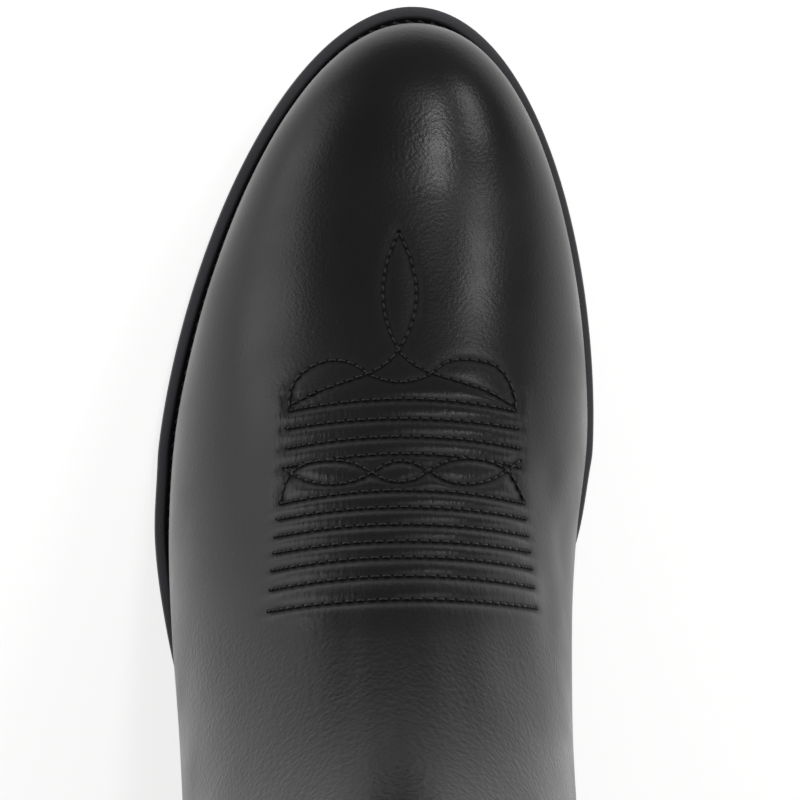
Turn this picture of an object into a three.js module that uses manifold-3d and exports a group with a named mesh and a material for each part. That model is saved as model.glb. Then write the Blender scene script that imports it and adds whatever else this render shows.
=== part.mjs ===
// A left cowboy boot, welted, with a round-pointed toe, a stacked heel, a scalloped shaft and pull straps.
//
// Footwear coordinates are used while shaping: s is to the side (lateral positive), f is forward from the
// back of the heel, z is up from the ground. The boot stands in the frame with X = s, Y = -f, Z = z, and
// its origin at the middle of its bounding box, on the ground. All sizes are millimetres.
//
// The foot form (the last, with the insole on it) is a row of closed sections from the toe to the top line.
// Each leather layer is that form, moved outwards: lining, stiffening, shaft panels, then vamp and counter.

import * as THREE from "three";
import { mergeVertices } from "three/addons/utils/BufferGeometryUtils.js";
import Module from "manifold-3d";

const wasm = await Module();
wasm.setup();

// ---------------------------------------------------------------- driving dimensions
const LAST_LENGTH = 290; // heel to toe, inside the lining
const BALL_HALF_WIDTH = 44.5; // half the inside width at the ball
const HEEL_STACK = 34; // ground to the outsole, under the heel
const TOE_SPRING = 12; // ground to the outsole, at the toe tip
const SHAFT_TOP = 336; // ground to the top line at the side seams
const FRONT_DIP = 34; // how far the scallop falls at the front
const BACK_DIP = 30; // and at the back
const TOP_HALF_WIDTH = 46; // half the inside width of the shaft at the top line

const LINING = 0.9; // leather thicknesses
const STIFFENING = 1.1;
const PANEL = 1.2;
const COVER = 1.4;
const GAP = 0.25; // clearance between layers that are stitched or glued together
const SEAM_GAP = 0.6; // clearance between pieces that meet edge to edge
const LAP = 14; // how far a shaft panel runs under the vamp

const OUTSOLE = 4.5;
const WELT = 3.0; // thickness of the welt's outer rim
const WELT_FLOOR = 2.1; // thickness of the welt in its stitch groove
const WELT_FLANGE = 1.1; // thickness of the welt under the lasted edge
const WELT_MARGIN = 5; // how far the welt stands out beyond the vamp
const TOE_MARGIN = 6; // the same, at the toe tip
const RIM_WIDTH = 2.5; // width of the raised rim on the welt
const INSOLE = 3;
const LASTING_MARGIN = 12; // upper that is turned in under the insole
const RIB_WIDTH = 2;
const SEAT_GAP = 0.3; // clearance where the upper and bottom rest on each other

const CAP = 6; // rubber heel cap
const LIFT_COUNT = 5; // leather lifts between cap and outsole
const HEEL_BREAST = 64; // where the heel ends, forward of the heel back
const HEEL_TAPER = 4.5; // how far the heel's back and sides draw in at the ground
const TOP_LIFT_GAP = 0.15; // clearance between the sloping heel seat and the top lift
const NAIL_LENGTH = 22;
const NAIL_RADIUS = 1.1;
const NAIL_HEAD_RADIUS = 2.2;
const NAIL_HEAD = 1.4;
const NAIL_CLEARANCE = 0.3;
const NAIL_COUNT = 5;

const SHANK_LENGTH = 105;
const SHANK_WIDTH = 14;
const SHANK = 1.6;

const PIPING_RADIUS = 1.5;
const PIPING_STOP = 1.5; // from the bead's end to the strap
const STRAP_WIDTH = 32;
const STRAP_GAP = 0.6; // between the strap and the binding under it
const STRAP = 2.2;
const STRAP_TAIL = 52; // sewn length on each side of the shaft wall
const STRAP_RISE = 24; // height of the loop above the top line
const STRAP_BULGE = 3.6; // how far each side of the loop bows out, for a finger
const BINDING = 1.1; // thickness of the folded top binding
const BINDING_DEPTH = 7;
const BINDING_GAP = 0.45; // between the binding and the wall it folds over
const BINDING_CORNER = 0.6; // how much the fold's corners are taken off
const SCALLOP_SHOULDER = 1.8; // larger is a narrower peak at the side seams
const SCALLOP_POINT = 1.15; // nearer 1 is a sharper dip at the front and the back
const THREAD_RADIUS = 0.5;

// ---------------------------------------------------------------- proportions of the pattern size
const PATTERN = { length: 290, halfWidth: 44.5, heel: 34, top: 336, topHalfWidth: 46 };
const along = LAST_LENGTH / PATTERN.length;
const across = BALL_HALF_WIDTH / PATTERN.halfWidth;

// A smooth curve through knots [x, y], as a function of x.
function spline(knots) {
  const slope = knots.map(([x, y], i) => {
    const [x0, y0] = knots[Math.max(i - 1, 0)];
    const [x1, y1] = knots[Math.min(i + 1, knots.length - 1)];
    return (y1 - y0) / (x1 - x0);
  });
  return (x) => {
    let i = 0;
    while (i < knots.length - 2 && x > knots[i + 1][0]) i += 1;
    const [x0, y0] = knots[i];
    const [x1, y1] = knots[i + 1];
    const w = x1 - x0;
    const u = (x - x0) / w;
    const rise = 3 * (y1 - y0) - w * (2 * slope[i] + slope[i + 1]);
    const turn = 2 * (y0 - y1) + w * (slope[i] + slope[i + 1]);
    return y0 + u * (w * slope[i] + u * (rise + u * turn));
  };
}

const smoothstep = (from, to, x) => {
  const u = THREE.MathUtils.clamp((x - from) / (to - from), 0, 1);
  return u * u * (3 - 2 * u);
};
const mix = THREE.MathUtils.lerp;

// ---------------------------------------------------------------- the bottom: side profile and plan
const layersAtToe = LINING + GAP + PANEL + GAP + COVER; // lining to vamp
const layersAtHeel = layersAtToe + STIFFENING + GAP; // lining to counter
const TIP = LAST_LENGTH + layersAtToe + TOE_MARGIN; // outsole's toe tip
const seatPitch = 0.03; // the heel seat falls this much per millimetre forward

// Height of the outsole's underside above the ground: a flat heel seat, and a smooth curve ahead of it.
const seatHeight = (f) => HEEL_STACK - seatPitch * f;
const waistCurve = spline([
  [30 * along, seatHeight(30 * along)],
  [HEEL_BREAST, seatHeight(HEEL_BREAST)],
  [100 * along, 0.62 * HEEL_STACK],
  [140 * along, 0.24 * HEEL_STACK],
  [175 * along, 0.03 * HEEL_STACK],
  [200 * along, 0],
  [230 * along, 0.09 * TOE_SPRING],
  [265 * along, 0.42 * TOE_SPRING],
  [TIP, TOE_SPRING],
]);
const soleUnder = (f) => (f < HEEL_BREAST ? seatHeight(f) : waistCurve(f));
const soleTop = (f) => soleUnder(f) + OUTSOLE;
// The underside of the foot form, which leaves room for the turned-in layers and the filler.
const formUnder = (f) => soleTop(f) + SEAT_GAP + layersAtHeel;

// Half width of a round-pointed toe at a distance behind its tip, widest at the ball.
const TOE_ROUNDNESS = 1.72;
const toeHalfWidth = (behind, ball, widest) =>
  widest * Math.sqrt(1 - Math.pow(Math.max(0, 1 - behind / ball), TOE_ROUNDNESS));
const TOE_SWING = 8.3; // the toe tip lies this far to the medial side
const toeCentre = (share) => TOE_SWING * across * (share - 1);

const lateral = 1;
const medial = -1;
const ballBehindTip = 108 * along; // from the outsole's tip to its widest place
const ballAt = TIP - ballBehindTip;
const soleBall = BALL_HALF_WIDTH + layersAtToe + WELT_MARGIN - 0.6;
const heelRound = 30 * along;
const HEEL_BACK = -1;
const waistSide = {
  [lateral]: spline([
    [heelRound, 35.5 * across],
    [60 * along, 36 * across],
    [90 * along, 37.5 * across],
    [120 * along, 43 * across],
    [150 * along, 50.5 * across],
    [172 * along, soleBall + 0.9],
    [ballAt, soleBall + 0.4],
  ]),
  [medial]: spline([
    [heelRound, 34.5 * across],
    [60 * along, 34 * across],
    [95 * along, 31.5 * across],
    [120 * along, 33 * across],
    [150 * along, 40 * across],
    [172 * along, 48.5 * across],
    [ballAt, soleBall - 0.5],
  ]),
};

// How far the outsole reaches to one side of the middle line, at f.
function soleSide(side, f) {
  if (f > ballAt) {
    const share = (TIP - f) / ballBehindTip;
    return toeHalfWidth(TIP - f, ballBehindTip, soleBall) + side * (toeCentre(share) + 0.45 * share);
  }
  if (f > heelRound) return waistSide[side](f);
  const back = (heelRound - f) / (heelRound - HEEL_BACK);
  return waistSide[side](heelRound) * Math.sqrt(Math.max(0, 1 - Math.pow(back, 2.3)));
}

// Stations from one place to another, close together at the ends that are round.
function stations(from, to, count, roundStart, roundEnd) {
  return Array.from({ length: count + 1 }, (_, i) => {
    const u = i / count;
    const start = roundStart ? 1 - Math.cos((u * Math.PI) / 2) : u;
    const end = roundEnd ? Math.sin((u * Math.PI) / 2) : u;
    const both = (1 - Math.cos(u * Math.PI)) / 2;
    const share = roundStart && roundEnd ? both : roundStart ? start : end;
    return mix(from, to, share);
  });
}

// ---------------------------------------------------------------- the foot form
// Upright sections of the forefoot. Each says: f, underside and top above formUnder(f), how high the widest
// place is as a share, the ridge's shift, and how square the two halves are (2 is an ellipse), upper first.
const FOREFOOT = [
  [290, 7.5, 8.5, 0.5, 0, 2.0, 2.0],
  [289.2, 3.8, 12.5, 0.48, 0, 2.0, 2.1],
  [287, 1.6, 17, 0.45, 0, 2.1, 2.5],
  [283, 0.5, 21.2, 0.41, 0, 2.2, 3.0],
  [276, 0, 25.5, 0.37, -0.5, 2.25, 3.5],
  [265, 0, 29.5, 0.34, -1.2, 2.2, 4.0],
  [250, 0, 34, 0.31, -2, 2.1, 4.5],
  [232, 0, 41, 0.28, -3, 2.0, 4.5],
  [214, 0, 49, 0.25, -4, 1.92, 4.5],
  [196, 0, 59, 0.23, -4.5, 1.86, 4.5],
];
// Leaning sections, from the instep round the heel. Each says: top f and z above the heel seat, bottom f
// and height above formUnder, half width, centre, and the last four as above.
const INSTEP = [
  [179, 38, 173, 0, 43.6, 1.5, 0.23, -4.5, 1.82, 4.5],
  [163, 51.5, 149, 0, 41.8, 2.0, 0.26, -4, 1.82, 4.2],
  [149, 65.5, 122, 0, 39.6, 1.6, 0.31, -3.2, 1.86, 4.0],
  [137, 81, 94, 0, 38, 1.0, 0.38, -2.2, 1.9, 4.2],
  [128, 98, 64, 0, 36.6, 0.5, 0.45, -1.2, 1.95, 5.0],
  [122, 115, 36, 0, 35.6, 0.2, 0.5, -0.5, 2.0, 5.0],
  [119, 131, 13, 1.5, 35.4, 0, 0.52, 0, 2.05, 3.6],
];
// Sections above the heel. Each says: front f and z, back f and z, half width, how square the back half is.
// Heights are above the heel seat.
const SHAFT = [
  [117.5, 145, 1.5, 15, 35.6, 2.9],
  [117, 157, -0.5, 35, 36, 2.4],
  [117, 168, 2.5, 58, 36.6, 2.3],
  [117.3, 178, 6, 84, 37.3, 2.2],
  [118, 189, 6.5, 109, 38.2, 2.2],
  [119, 201, 4.5, 136, 39.4, 2.2],
  [120.5, 214, 1, 166, 41, 2.2],
  [122.5, 228, -3, 196, 43, 2.2],
];
const TOP = { front: 126, back: -8, square: 2.2 };

const seat = formUnder(30 * along);
const patternSeat = PATTERN.heel + OUTSOLE + SEAT_GAP + layersAtHeel - 30 * seatPitch;
// Heights in the ankle follow the foot's length. Above it they stretch to the height of the shaft.
const ANKLE = 110;
const stretch = (SHAFT_TOP - seat - ANKLE * along) / (PATTERN.top - patternSeat - ANKLE);
const lift = (z) => seat + Math.min(z, ANKLE) * along + Math.max(0, z - ANKLE) * stretch;
const ballOfForm = 98 * along;

const sections = [
  ...FOREFOOT.map(([f, low, high, widest, ridge, squareUp, squareDown]) => {
    const behind = (PATTERN.length - f) * along;
    const place = f * along;
    return {
      frontF: place,
      frontZ: formUnder(place) + high * along,
      backF: place,
      backZ: formUnder(place) + low * along,
      half: toeHalfWidth(behind, ballOfForm, BALL_HALF_WIDTH),
      centre: toeCentre(Math.min(1, behind / ballOfForm)),
      widest,
      ridge: ridge * across,
      squareUp,
      squareDown,
    };
  }),
  ...INSTEP.map(([topF, topZ, lowF, lowZ, half, centre, widest, ridge, squareUp, squareDown]) => ({
    frontF: topF * along,
    frontZ: lift(topZ),
    backF: lowF * along,
    backZ: formUnder(lowF * along) + lowZ,
    half: half * across,
    centre: centre * across,
    widest,
    ridge: ridge * across,
    squareUp,
    squareDown,
  })),
  ...SHAFT.map(([frontF, frontZ, backF, backZ, half, squareDown], i) => ({
    frontF: frontF * along,
    frontZ: lift(frontZ),
    backF: backF * along,
    backZ: lift(backZ),
    half: mix(half * across, (half * TOP_HALF_WIDTH) / PATTERN.topHalfWidth, i / (SHAFT.length - 1)),
    centre: 0,
    widest: 0.52,
    ridge: 0,
    squareUp: 2.1,
    squareDown,
  })),
  {
    frontF: TOP.front * along,
    frontZ: SHAFT_TOP - FRONT_DIP,
    backF: TOP.back * along,
    backZ: SHAFT_TOP - BACK_DIP,
    half: TOP_HALF_WIDTH,
    centre: 0,
    widest: 0.52,
    ridge: 0,
    squareUp: 2.1,
    squareDown: TOP.square,
  },
];
const TOP_ROW = sections.length - 1;
const LAST_RING = TOP_ROW - 1; // the last section that is flat; above it the rows rise to the scallop
const fields = Object.keys(sections[0]);
const fieldAt = Object.fromEntries(
  fields.map((name) => [name, spline(sections.map((section, i) => [i, section[name]]))]),
);
const sectionAt = (row) => Object.fromEntries(fields.map((name) => [name, fieldAt[name](row)]));

// Height of the top line at an angle: highest at the side seams, with a soft V at the front and the back.
function topHeight(angle) {
  const towardsFront = Math.sin(angle);
  const fromSide = Math.asin(Math.min(1, Math.abs(towardsFront))) / (Math.PI / 2);
  const share = Math.pow(1 - Math.pow(1 - fromSide, SCALLOP_POINT), SCALLOP_SHOULDER);
  return SHAFT_TOP - (towardsFront > 0 ? FRONT_DIP : BACK_DIP) * share;
}

const power = (x, exponent) => Math.sign(x) * Math.pow(Math.abs(x), exponent);

// A point of the foot form. Angle 0 is the lateral side, a quarter turn is the top or front, three quarters
// is the underside or back.
function formPoint(row, angle) {
  const c = sectionAt(Math.min(row, TOP_ROW));
  const side = Math.cos(angle);
  const up = Math.sin(angle);
  const square = up > 0 ? c.squareUp : c.squareDown;
  const reach = power(up, 2 / square) * (up > 0 ? 1 - c.widest : c.widest);
  const share = c.widest + reach;
  const lean = up > 0 ? c.ridge * Math.pow(up, 1.5) : 0;
  const s = c.centre + c.half * power(side, 2 / square) + lean;
  const point = new THREE.Vector3(
    s,
    mix(c.backF, c.frontF, share),
    mix(c.backZ, c.frontZ, share),
  );
  if (row > LAST_RING) {
    const below = sectionAt(LAST_RING);
    const from = mix(below.backZ, below.frontZ, share);
    point.z = mix(from, topHeight(angle), row - LAST_RING);
  }
  return point;
}

// The outward direction of the form at a point.
function formNormal(row, angle) {
  const step = 1e-3;
  const inner = Math.max(row, 0.05);
  const next = Math.min(inner + step, TOP_ROW);
  const a = formPoint(next, angle).sub(formPoint(next - 2 * step, angle));
  const b = formPoint(inner, angle + step).sub(formPoint(inner, angle - step));
  return a.cross(b).normalize().negate();
}

// The form moved outwards. Depth is a number, or a function of the form's own point.
function skin(row, angle, depth) {
  const point = formPoint(row, angle);
  const amount = typeof depth === "function" ? depth(point) : depth;
  return point.addScaledVector(formNormal(row, angle), amount);
}

// ---------------------------------------------------------------- solids
// Joins rings of points into one closed surface. A ring of one point is a pole. Caps are triangles of
// indices into a ring, a fan unless they are given.
function loft(rings, { caps, closed = false } = {}) {
  const positions = [];
  const starts = rings.map((ring) => {
    const start = positions.length / 3;
    ring.forEach((p) => positions.push(p.x, -p.y, p.z));
    return start;
  });
  const index = [];
  const join = (i, j) => {
    const n = Math.max(rings[i].length, rings[j].length);
    for (let k = 0; k < n; k += 1) {
      const next = (k + 1) % n;
      const a = starts[i] + (rings[i].length > 1 ? k : 0);
      const b = starts[i] + (rings[i].length > 1 ? next : 0);
      const c = starts[j] + (rings[j].length > 1 ? next : 0);
      const d = starts[j] + (rings[j].length > 1 ? k : 0);
      if (a !== b) index.push(a, b, c);
      if (c !== d) index.push(a, c, d);
    }
  };
  rings.slice(1).forEach((_, i) => join(i, i + 1));
  if (closed) join(rings.length - 1, 0);
  const last = rings.length - 1;
  const cap = (ring, start, turned) => {
    if (ring.length === 1) return;
    const faces = caps ?? ring.slice(2).map((_, i) => [0, i + 1, i + 2]);
    faces.forEach(([a, b, c]) => index.push(start + a, start + (turned ? b : c), start + (turned ? c : b)));
  };
  if (!closed) {
    cap(rings[0], starts[0], false);
    cap(rings[last], starts[last], true);
  }
  return solid(positions, index);
}

// A manifold solid from positions and triangles, turned right side out.
function solid(positions, index) {
  const geometry = new THREE.BufferGeometry();
  geometry.setAttribute("position", new THREE.Float32BufferAttribute(positions, 3));
  geometry.setIndex(index);
  return fromGeometry(geometry);
}

function fromGeometry(geometry) {
  geometry.deleteAttribute("normal");
  geometry.deleteAttribute("uv");
  const merged = mergeVertices(geometry, 1e-4);
  const at = merged.attributes.position;
  const triangles = [];
  const corner = [0, 1, 2].map(() => new THREE.Vector3());
  let volume = 0;
  for (let i = 0; i < merged.index.count; i += 3) {
    const [a, b, c] = [0, 1, 2].map((k) => merged.index.getX(i + k));
    if (a === b || b === c || c === a) continue;
    [a, b, c].forEach((v, k) => corner[k].fromBufferAttribute(at, v));
    volume += corner[0].dot(corner[1].clone().cross(corner[2]));
    triangles.push(a, b, c);
  }
  if (volume < 0) {
    for (let i = 0; i < triangles.length; i += 3) {
      [triangles[i + 1], triangles[i + 2]] = [triangles[i + 2], triangles[i + 1]];
    }
  }
  return new wasm.Manifold(
    new wasm.Mesh({
      numProp: 3,
      vertProperties: new Float32Array(at.array),
      triVerts: new Uint32Array(triangles),
    }),
  );
}

// A cutter as wide as the boot, from an outline of [f, z] points seen from the side.
function sideCutter(points) {
  const outline = new THREE.Shape(points.map(([f, z]) => new THREE.Vector2(-f, z)));
  const geometry = new THREE.ExtrudeGeometry(outline, { depth: 300, bevelEnabled: false });
  geometry.rotateX(Math.PI / 2).rotateZ(Math.PI / 2);
  // the outline's x now lies along Y, its y along Z, and the depth along X
  geometry.center();
  const box = new THREE.Box3().setFromPoints(points.map(([f, z]) => new THREE.Vector3(0, -f, z)));
  const middle = box.getCenter(new THREE.Vector3());
  geometry.translate(0, middle.y, middle.z);
  return fromGeometry(geometry);
}

const ROUND = 24; // points round a section
const angles = (from, to, count) => Array.from({ length: count + 1 }, (_, i) => mix(from, to, i / count));
const SEAM_TURN = 0.02; // half the angle that the side seams take
// Angles all the way round, with two at each side seam so that the shaft's front and back can end there.
const sideSeams = [0, Math.PI, 2 * Math.PI];
const fullTurn = angles(0, 2 * Math.PI, ROUND)
  .flatMap((angle) => (sideSeams.includes(angle) ? [angle - SEAM_TURN, angle + SEAM_TURN] : [angle]))
  .slice(1, -1);
const flatRows = Array.from({ length: LAST_RING }, (_, i) => i + 1);
const allRows = [...flatRows, LAST_RING + 0.35, LAST_RING + 0.7, TOP_ROW];
const rowsTo = (last) => allRows.filter((row) => row <= last);
const FIRST_UPRIGHT = 17; // the lowest row that lies wholly in the shaft's side seams
const FIRST_LEANING = FOREFOOT.length;

// Angles beside a side seam are drawn in until they lie half a seam gap from it, whatever the row's shape.
function seamSkin(row, angle, depth) {
  const seam = sideSeams.find((side) => Math.abs(angle - side) < 1.01 * SEAM_TURN);
  if (seam === undefined) {
    return skin(row, angle, depth);
  }
  const c = sectionAt(Math.min(row, TOP_ROW));
  const tall = Math.hypot(c.frontF - c.backF, c.frontZ - c.backZ);
  const isUpper = Math.sin(angle) > 0;
  const half = tall * (isUpper ? 1 - c.widest : c.widest);
  const square = isUpper ? c.squareUp : c.squareDown;
  const turn = Math.asin(Math.pow(SEAM_GAP / 2 / half, square / 2));
  return skin(row, seam + Math.sign(angle - seam) * turn, depth);
}

// A layer between two depths over the form. Both faces are split the same way, so that layers stay apart.
// The layer goes all the way round, with a pole at the toe, or it stops at the first and last angle.
function shell(rows, turn, inner, outer, round) {
  const positions = [];
  [inner, outer].forEach((depth) =>
    rows.forEach((row) =>
      turn.forEach((angle) => {
        const p = seamSkin(row, angle, depth);
        positions.push(p.x, -p.y, p.z);
      }),
    ),
  );
  const index = [];
  const at = (layer, r, k) => (layer * rows.length + r) * turn.length + (k % turn.length);
  const quad = (a, b, c, d) => index.push(a, b, c, a, c, d);
  const last = rows.length - 1;
  const spans = round ? turn.length : turn.length - 1;
  for (let k = 0; k < spans; k += 1) {
    for (let r = 0; r < last; r += 1) {
      quad(at(0, r, k), at(0, r, k + 1), at(0, r + 1, k + 1), at(0, r + 1, k));
      index.push(at(1, r, k), at(1, r + 1, k + 1), at(1, r, k + 1));
      index.push(at(1, r, k), at(1, r + 1, k), at(1, r + 1, k + 1));
    }
    quad(at(0, last, k), at(0, last, k + 1), at(1, last, k + 1), at(1, last, k));
    if (!round) quad(at(0, 0, k + 1), at(0, 0, k), at(1, 0, k), at(1, 0, k + 1));
  }
  if (round) {
    [inner, outer].forEach((depth, layer) => {
      const tip = pole(depth);
      const centre = positions.length / 3;
      positions.push(tip.x, -tip.y, tip.z);
      turn.forEach((_, k) => {
        const [a, b] = layer ? [at(1, 0, k), at(1, 0, k + 1)] : [at(0, 0, k + 1), at(0, 0, k)];
        index.push(a, b, centre);
      });
    });
  } else {
    for (let r = 0; r < last; r += 1) {
      const k = turn.length - 1;
      quad(at(0, r, 0), at(0, r + 1, 0), at(1, r + 1, 0), at(1, r, 0));
      quad(at(0, r + 1, k), at(0, r, k), at(1, r, k), at(1, r + 1, k));
    }
  }
  return solid(positions, index);
}

// The middle of the toe, moved forward by a depth.
function pole(depth) {
  const tip = formPoint(0, 0).setX(sections[0].centre);
  return tip.setY(tip.y + (typeof depth === "function" ? depth(tip) : depth));
}

const sock = (inner, outer) => shell(rowsTo(LAST_RING), fullTurn, inner, outer, true);
const panel = (inner, outer, front) => {
  const start = front ? 0 : Math.PI;
  const turn = fullTurn.filter((angle) => angle > start && angle < start + Math.PI);
  return shell(allRows.filter((row) => row >= FIRST_LEANING), turn, inner, outer, false);
};
// Everything inside a depth, as one solid.
const mass = (depth) =>
  loft([
    [pole(depth)],
    ...rowsTo(LAST_RING).map((row) => fullTurn.map((angle) => seamSkin(row, angle, depth))),
  ]);

// Cap triangles for a ring that runs along one face and back along the other.
function ladder(count) {
  const faces = [];
  for (let i = 0; i < count - 1; i += 1) {
    const far = 2 * count - 1 - i;
    faces.push([i, i + 1, far - 1], [i, far - 1, far]);
  }
  return faces;
}

// A plate that lies along the foot. Side and height are functions of f.
function plate(places, side, low, high) {
  const corner = (f, which, height) => new THREE.Vector3(which * side(which, f), f, height(f));
  return loft(
    places.map((f) => [
      corner(f, medial, low),
      corner(f, lateral, low),
      corner(f, lateral, high),
      corner(f, medial, high),
    ]),
  );
}

// ---------------------------------------------------------------- layers of the upper
const heelZone = (point) =>
  smoothstep(88 * along, 70 * along, point.y) * smoothstep(seat + 82 * along, seat + 60 * along, point.z);
const stiffIn = LINING + GAP;
const stiffOut = stiffIn + STIFFENING;
const panelIn = (point) => stiffIn + (STIFFENING + GAP) * heelZone(point);
const panelOut = (point) => panelIn(point) + PANEL;
const coverIn = (point) => panelOut(point) + GAP;
const coverOut = (point) => coverIn(point) + COVER;

// The vamp's back edge seen from the side, from the sole to the tip of the tongue, moved forward by a lap.
const below = -40;
const vampEdge = (lap) => [
  [86 * along + lap, below],
  [86 * along + lap, seat - 6],
  [90 * along + lap, seat + 16 * along],
  [98 * along + 0.9 * lap, seat + 34 * along],
  [107 * along + 0.8 * lap, seat + 50 * along - 0.4 * lap],
  [113 * along + 0.7 * lap, seat + 68 * along - 0.6 * lap],
  [116.5 * along + 0.5 * lap, seat + 86 * along - 0.8 * lap],
  [119.5 * along + 0.3 * lap, seat + 99 * along - lap],
  [123 * along, seat + 106 * along - lap],
  [140 * along, seat + 110 * along - lap],
];
const farForward = TIP + 40;
const vampCutter = sideCutter([...vampEdge(0), [farForward, seat + 110 * along], [farForward, below]]);

// The counter's top edge, from its front corner to the peak at the back.
const counterTop = [
  [86 * along - SEAM_GAP, seat + 24 * along],
  [70 * along, seat + 30 * along],
  [48 * along, seat + 37 * along],
  [26 * along, seat + 46 * along],
  [8 * along, seat + 57 * along],
  [-20, seat + 60 * along],
];
const counterCutter = sideCutter([
  [-20, below],
  [86 * along - SEAM_GAP, below],
  [86 * along - SEAM_GAP, seat - 6],
  ...counterTop,
]);

// The opening under the foot form that the turned-in edges leave, for the rib and the filler.
const FORM_TOE = TIP - TOE_MARGIN;
const stationsOfSole = stations(HEEL_BACK + 0.3, TIP - 0.3, 30, true, true);
const solePlaces = [...stationsOfSole, HEEL_BREAST + 1].sort((a, b) => a - b);
const plan = [
  ...solePlaces.map((f) => new THREE.Vector2(soleSide(lateral, f), f)),
  ...solePlaces.toReversed().map((f) => new THREE.Vector2(-soleSide(medial, f), f)),
];
// A plate under the foot, whose edge keeps one distance inside the edge of the outsole.
function inPlan(inset, from, to, low, high) {
  const moved = plan.map((p, i) => {
    const before = plan[(i + plan.length - 1) % plan.length];
    const after = plan[(i + 1) % plan.length];
    const t = after.clone().sub(before).normalize();
    return new THREE.Vector2(p.x - inset * t.y, p.y + inset * t.x);
  });
  // where the outline bends more sharply than the inset allows, its points turn back and are left out
  const step = (points, i) => points[(i + 1) % points.length].clone().sub(points[i]);
  const edge = moved.filter((_, i) => step(moved, i).dot(step(plan, i)) > 0);
  const outline = new THREE.Shape(edge.map((p) => new THREE.Vector2(p.x, -p.y)));
  const prism = new THREE.ExtrudeGeometry(outline, { depth: 200, bevelEnabled: false });
  const places = [from, ...solePlaces.filter((f) => f > from + 1 && f < to - 1), to];
  const band = plate(places, () => 2 * BALL_HALF_WIDTH, low, high);
  return fromGeometry(prism.translate(0, 0, below)).intersect(band);
}
const openingInset = WELT_MARGIN + LASTING_MARGIN;
const under = inPlan(openingInset, HEEL_BACK, TIP, () => below, (f) => formUnder(f) + 1.5);

const coverSock = sock(coverIn, coverOut);
const upperMass = mass((point) => coverOut(point) + SEAT_GAP);

const vamp = coverSock.intersect(vampCutter).subtract(under);
const counterCover = coverSock.intersect(counterCutter).subtract(under);

// Lining, in three pieces that meet edge to edge.
const liningSplit = [
  [84 * along, below],
  [84 * along, seat],
  [92 * along, seat + 40 * along],
  [112 * along, seat + 84 * along],
  [140 * along, seat + 104 * along],
];
const liningFrontCutter = sideCutter([
  ...liningSplit,
  [farForward, seat + 104 * along],
  [farForward, below],
]);
const liningBackEdge = liningSplit.map(([f, z]) => [f - SEAM_GAP, z + SEAM_GAP]);
const above = SHAFT_TOP + 60;
const shaftCutter = (edge) =>
  sideCutter([...edge, [farForward, edge.at(-1)[1]], [farForward, above], [-60, above], [-60, below]]);
const liningRear = shaftCutter(liningBackEdge);
const vampLining = sock(0, LINING).intersect(liningFrontCutter).subtract(under);
const frontLining = panel(0, LINING, true).intersect(liningRear);
const backLining = panel(0, LINING, false)
  .intersect(liningRear)
  .subtract(under);

// Shaft panels, whose lower edges run under the vamp and the counter.
const panelRear = shaftCutter(vampEdge(LAP));
const frontPanel = panel(panelIn, panelOut, true).intersect(panelRear);
const backPanel = panel(panelIn, panelOut, false)
  .intersect(panelRear)
  .subtract(under);

// Stiffening layer: toe box, vamp interlining and heel counter.
const stiffSock = sock(stiffIn, stiffOut);
const toeBoxBack = [
  [236 * along, below],
  [241 * along, 30],
  [248 * along, 90],
];
const toeBox = stiffSock
  .intersect(sideCutter([...toeBoxBack, [farForward, 90], [farForward, below]]))
  .subtract(under);
const interliningBack = vampEdge(LAP + SEAM_GAP + 0.4).map(([f, z]) => [f + 0.5, z - 0.5]);
const interlining = stiffSock
  .intersect(
    sideCutter([
      ...interliningBack,
      [248 * along - SEAM_GAP, seat + 110 * along],
      ...toeBoxBack.toReversed().map(([f, z]) => [f - SEAM_GAP, z]),
    ]),
  )
  .subtract(under);
const stiffenerTop = seat + 40 * along;
const stiffener = stiffSock
  .intersect(
    sideCutter([
      [-20, below],
      [60 * along, below],
      [60 * along, seat + 14 * along],
      [50 * along, seat + 25 * along],
      [30 * along, seat + 36 * along],
      [10 * along, stiffenerTop],
      [-20, stiffenerTop],
    ]),
  )
  .subtract(under);

// ---------------------------------------------------------------- the bottom pieces
const insoleInset = WELT_MARGIN + layersAtToe + 1.4;
const insoleLow = (f) => formUnder(f) + SEAT_GAP;
const insoleTop = (f) => insoleLow(f) + INSOLE;
const insole = inPlan(insoleInset, HEEL_BACK, TIP, insoleLow, insoleTop);
const insideForm = mass(-SEAT_GAP);
const sockTop = (f) => insoleTop(f) + LINING;
const sockLining = inPlan(insoleInset + 1.5, HEEL_BACK, 110 * along, insoleTop, sockTop);

// A strip that follows the edge of the sole, from an outline of its section as [out from the edge, z above
// the top of the outsole]. It runs from one side of the foot, round the toe or the heel, to the other.
function edgePath(roundToe, lateralEnd, medialEnd, count) {
  const end = roundToe ? TIP - 0.05 : HEEL_BACK + 0.05;
  const one = (side, to) =>
    stations(to, end, count, false, true).map((f) => new THREE.Vector2(side * soleSide(side, f), f));
  const there = one(lateral, lateralEnd);
  const back = one(medial, medialEnd).toReversed();
  return [...there, ...back.slice(1)];
}
function edgeStrip(path, section, roundToe) {
  const rings = path.map((p, i) => {
    const before = path[Math.max(i - 1, 0)];
    const after = path[Math.min(i + 1, path.length - 1)];
    const t = after.clone().sub(before).normalize();
    const out = roundToe ? new THREE.Vector2(t.y, -t.x) : new THREE.Vector2(-t.y, t.x);
    return section.map(([reach, z]) => {
      const q = p.clone().addScaledVector(out, reach);
      return new THREE.Vector3(q.x, q.y, soleTop(q.y) + z);
    });
  });
  const outline = section.map(([x, y]) => new THREE.Vector2(x, y));
  return loft(rings, { caps: THREE.ShapeUtils.triangulateShape(outline, []) });
}

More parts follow.
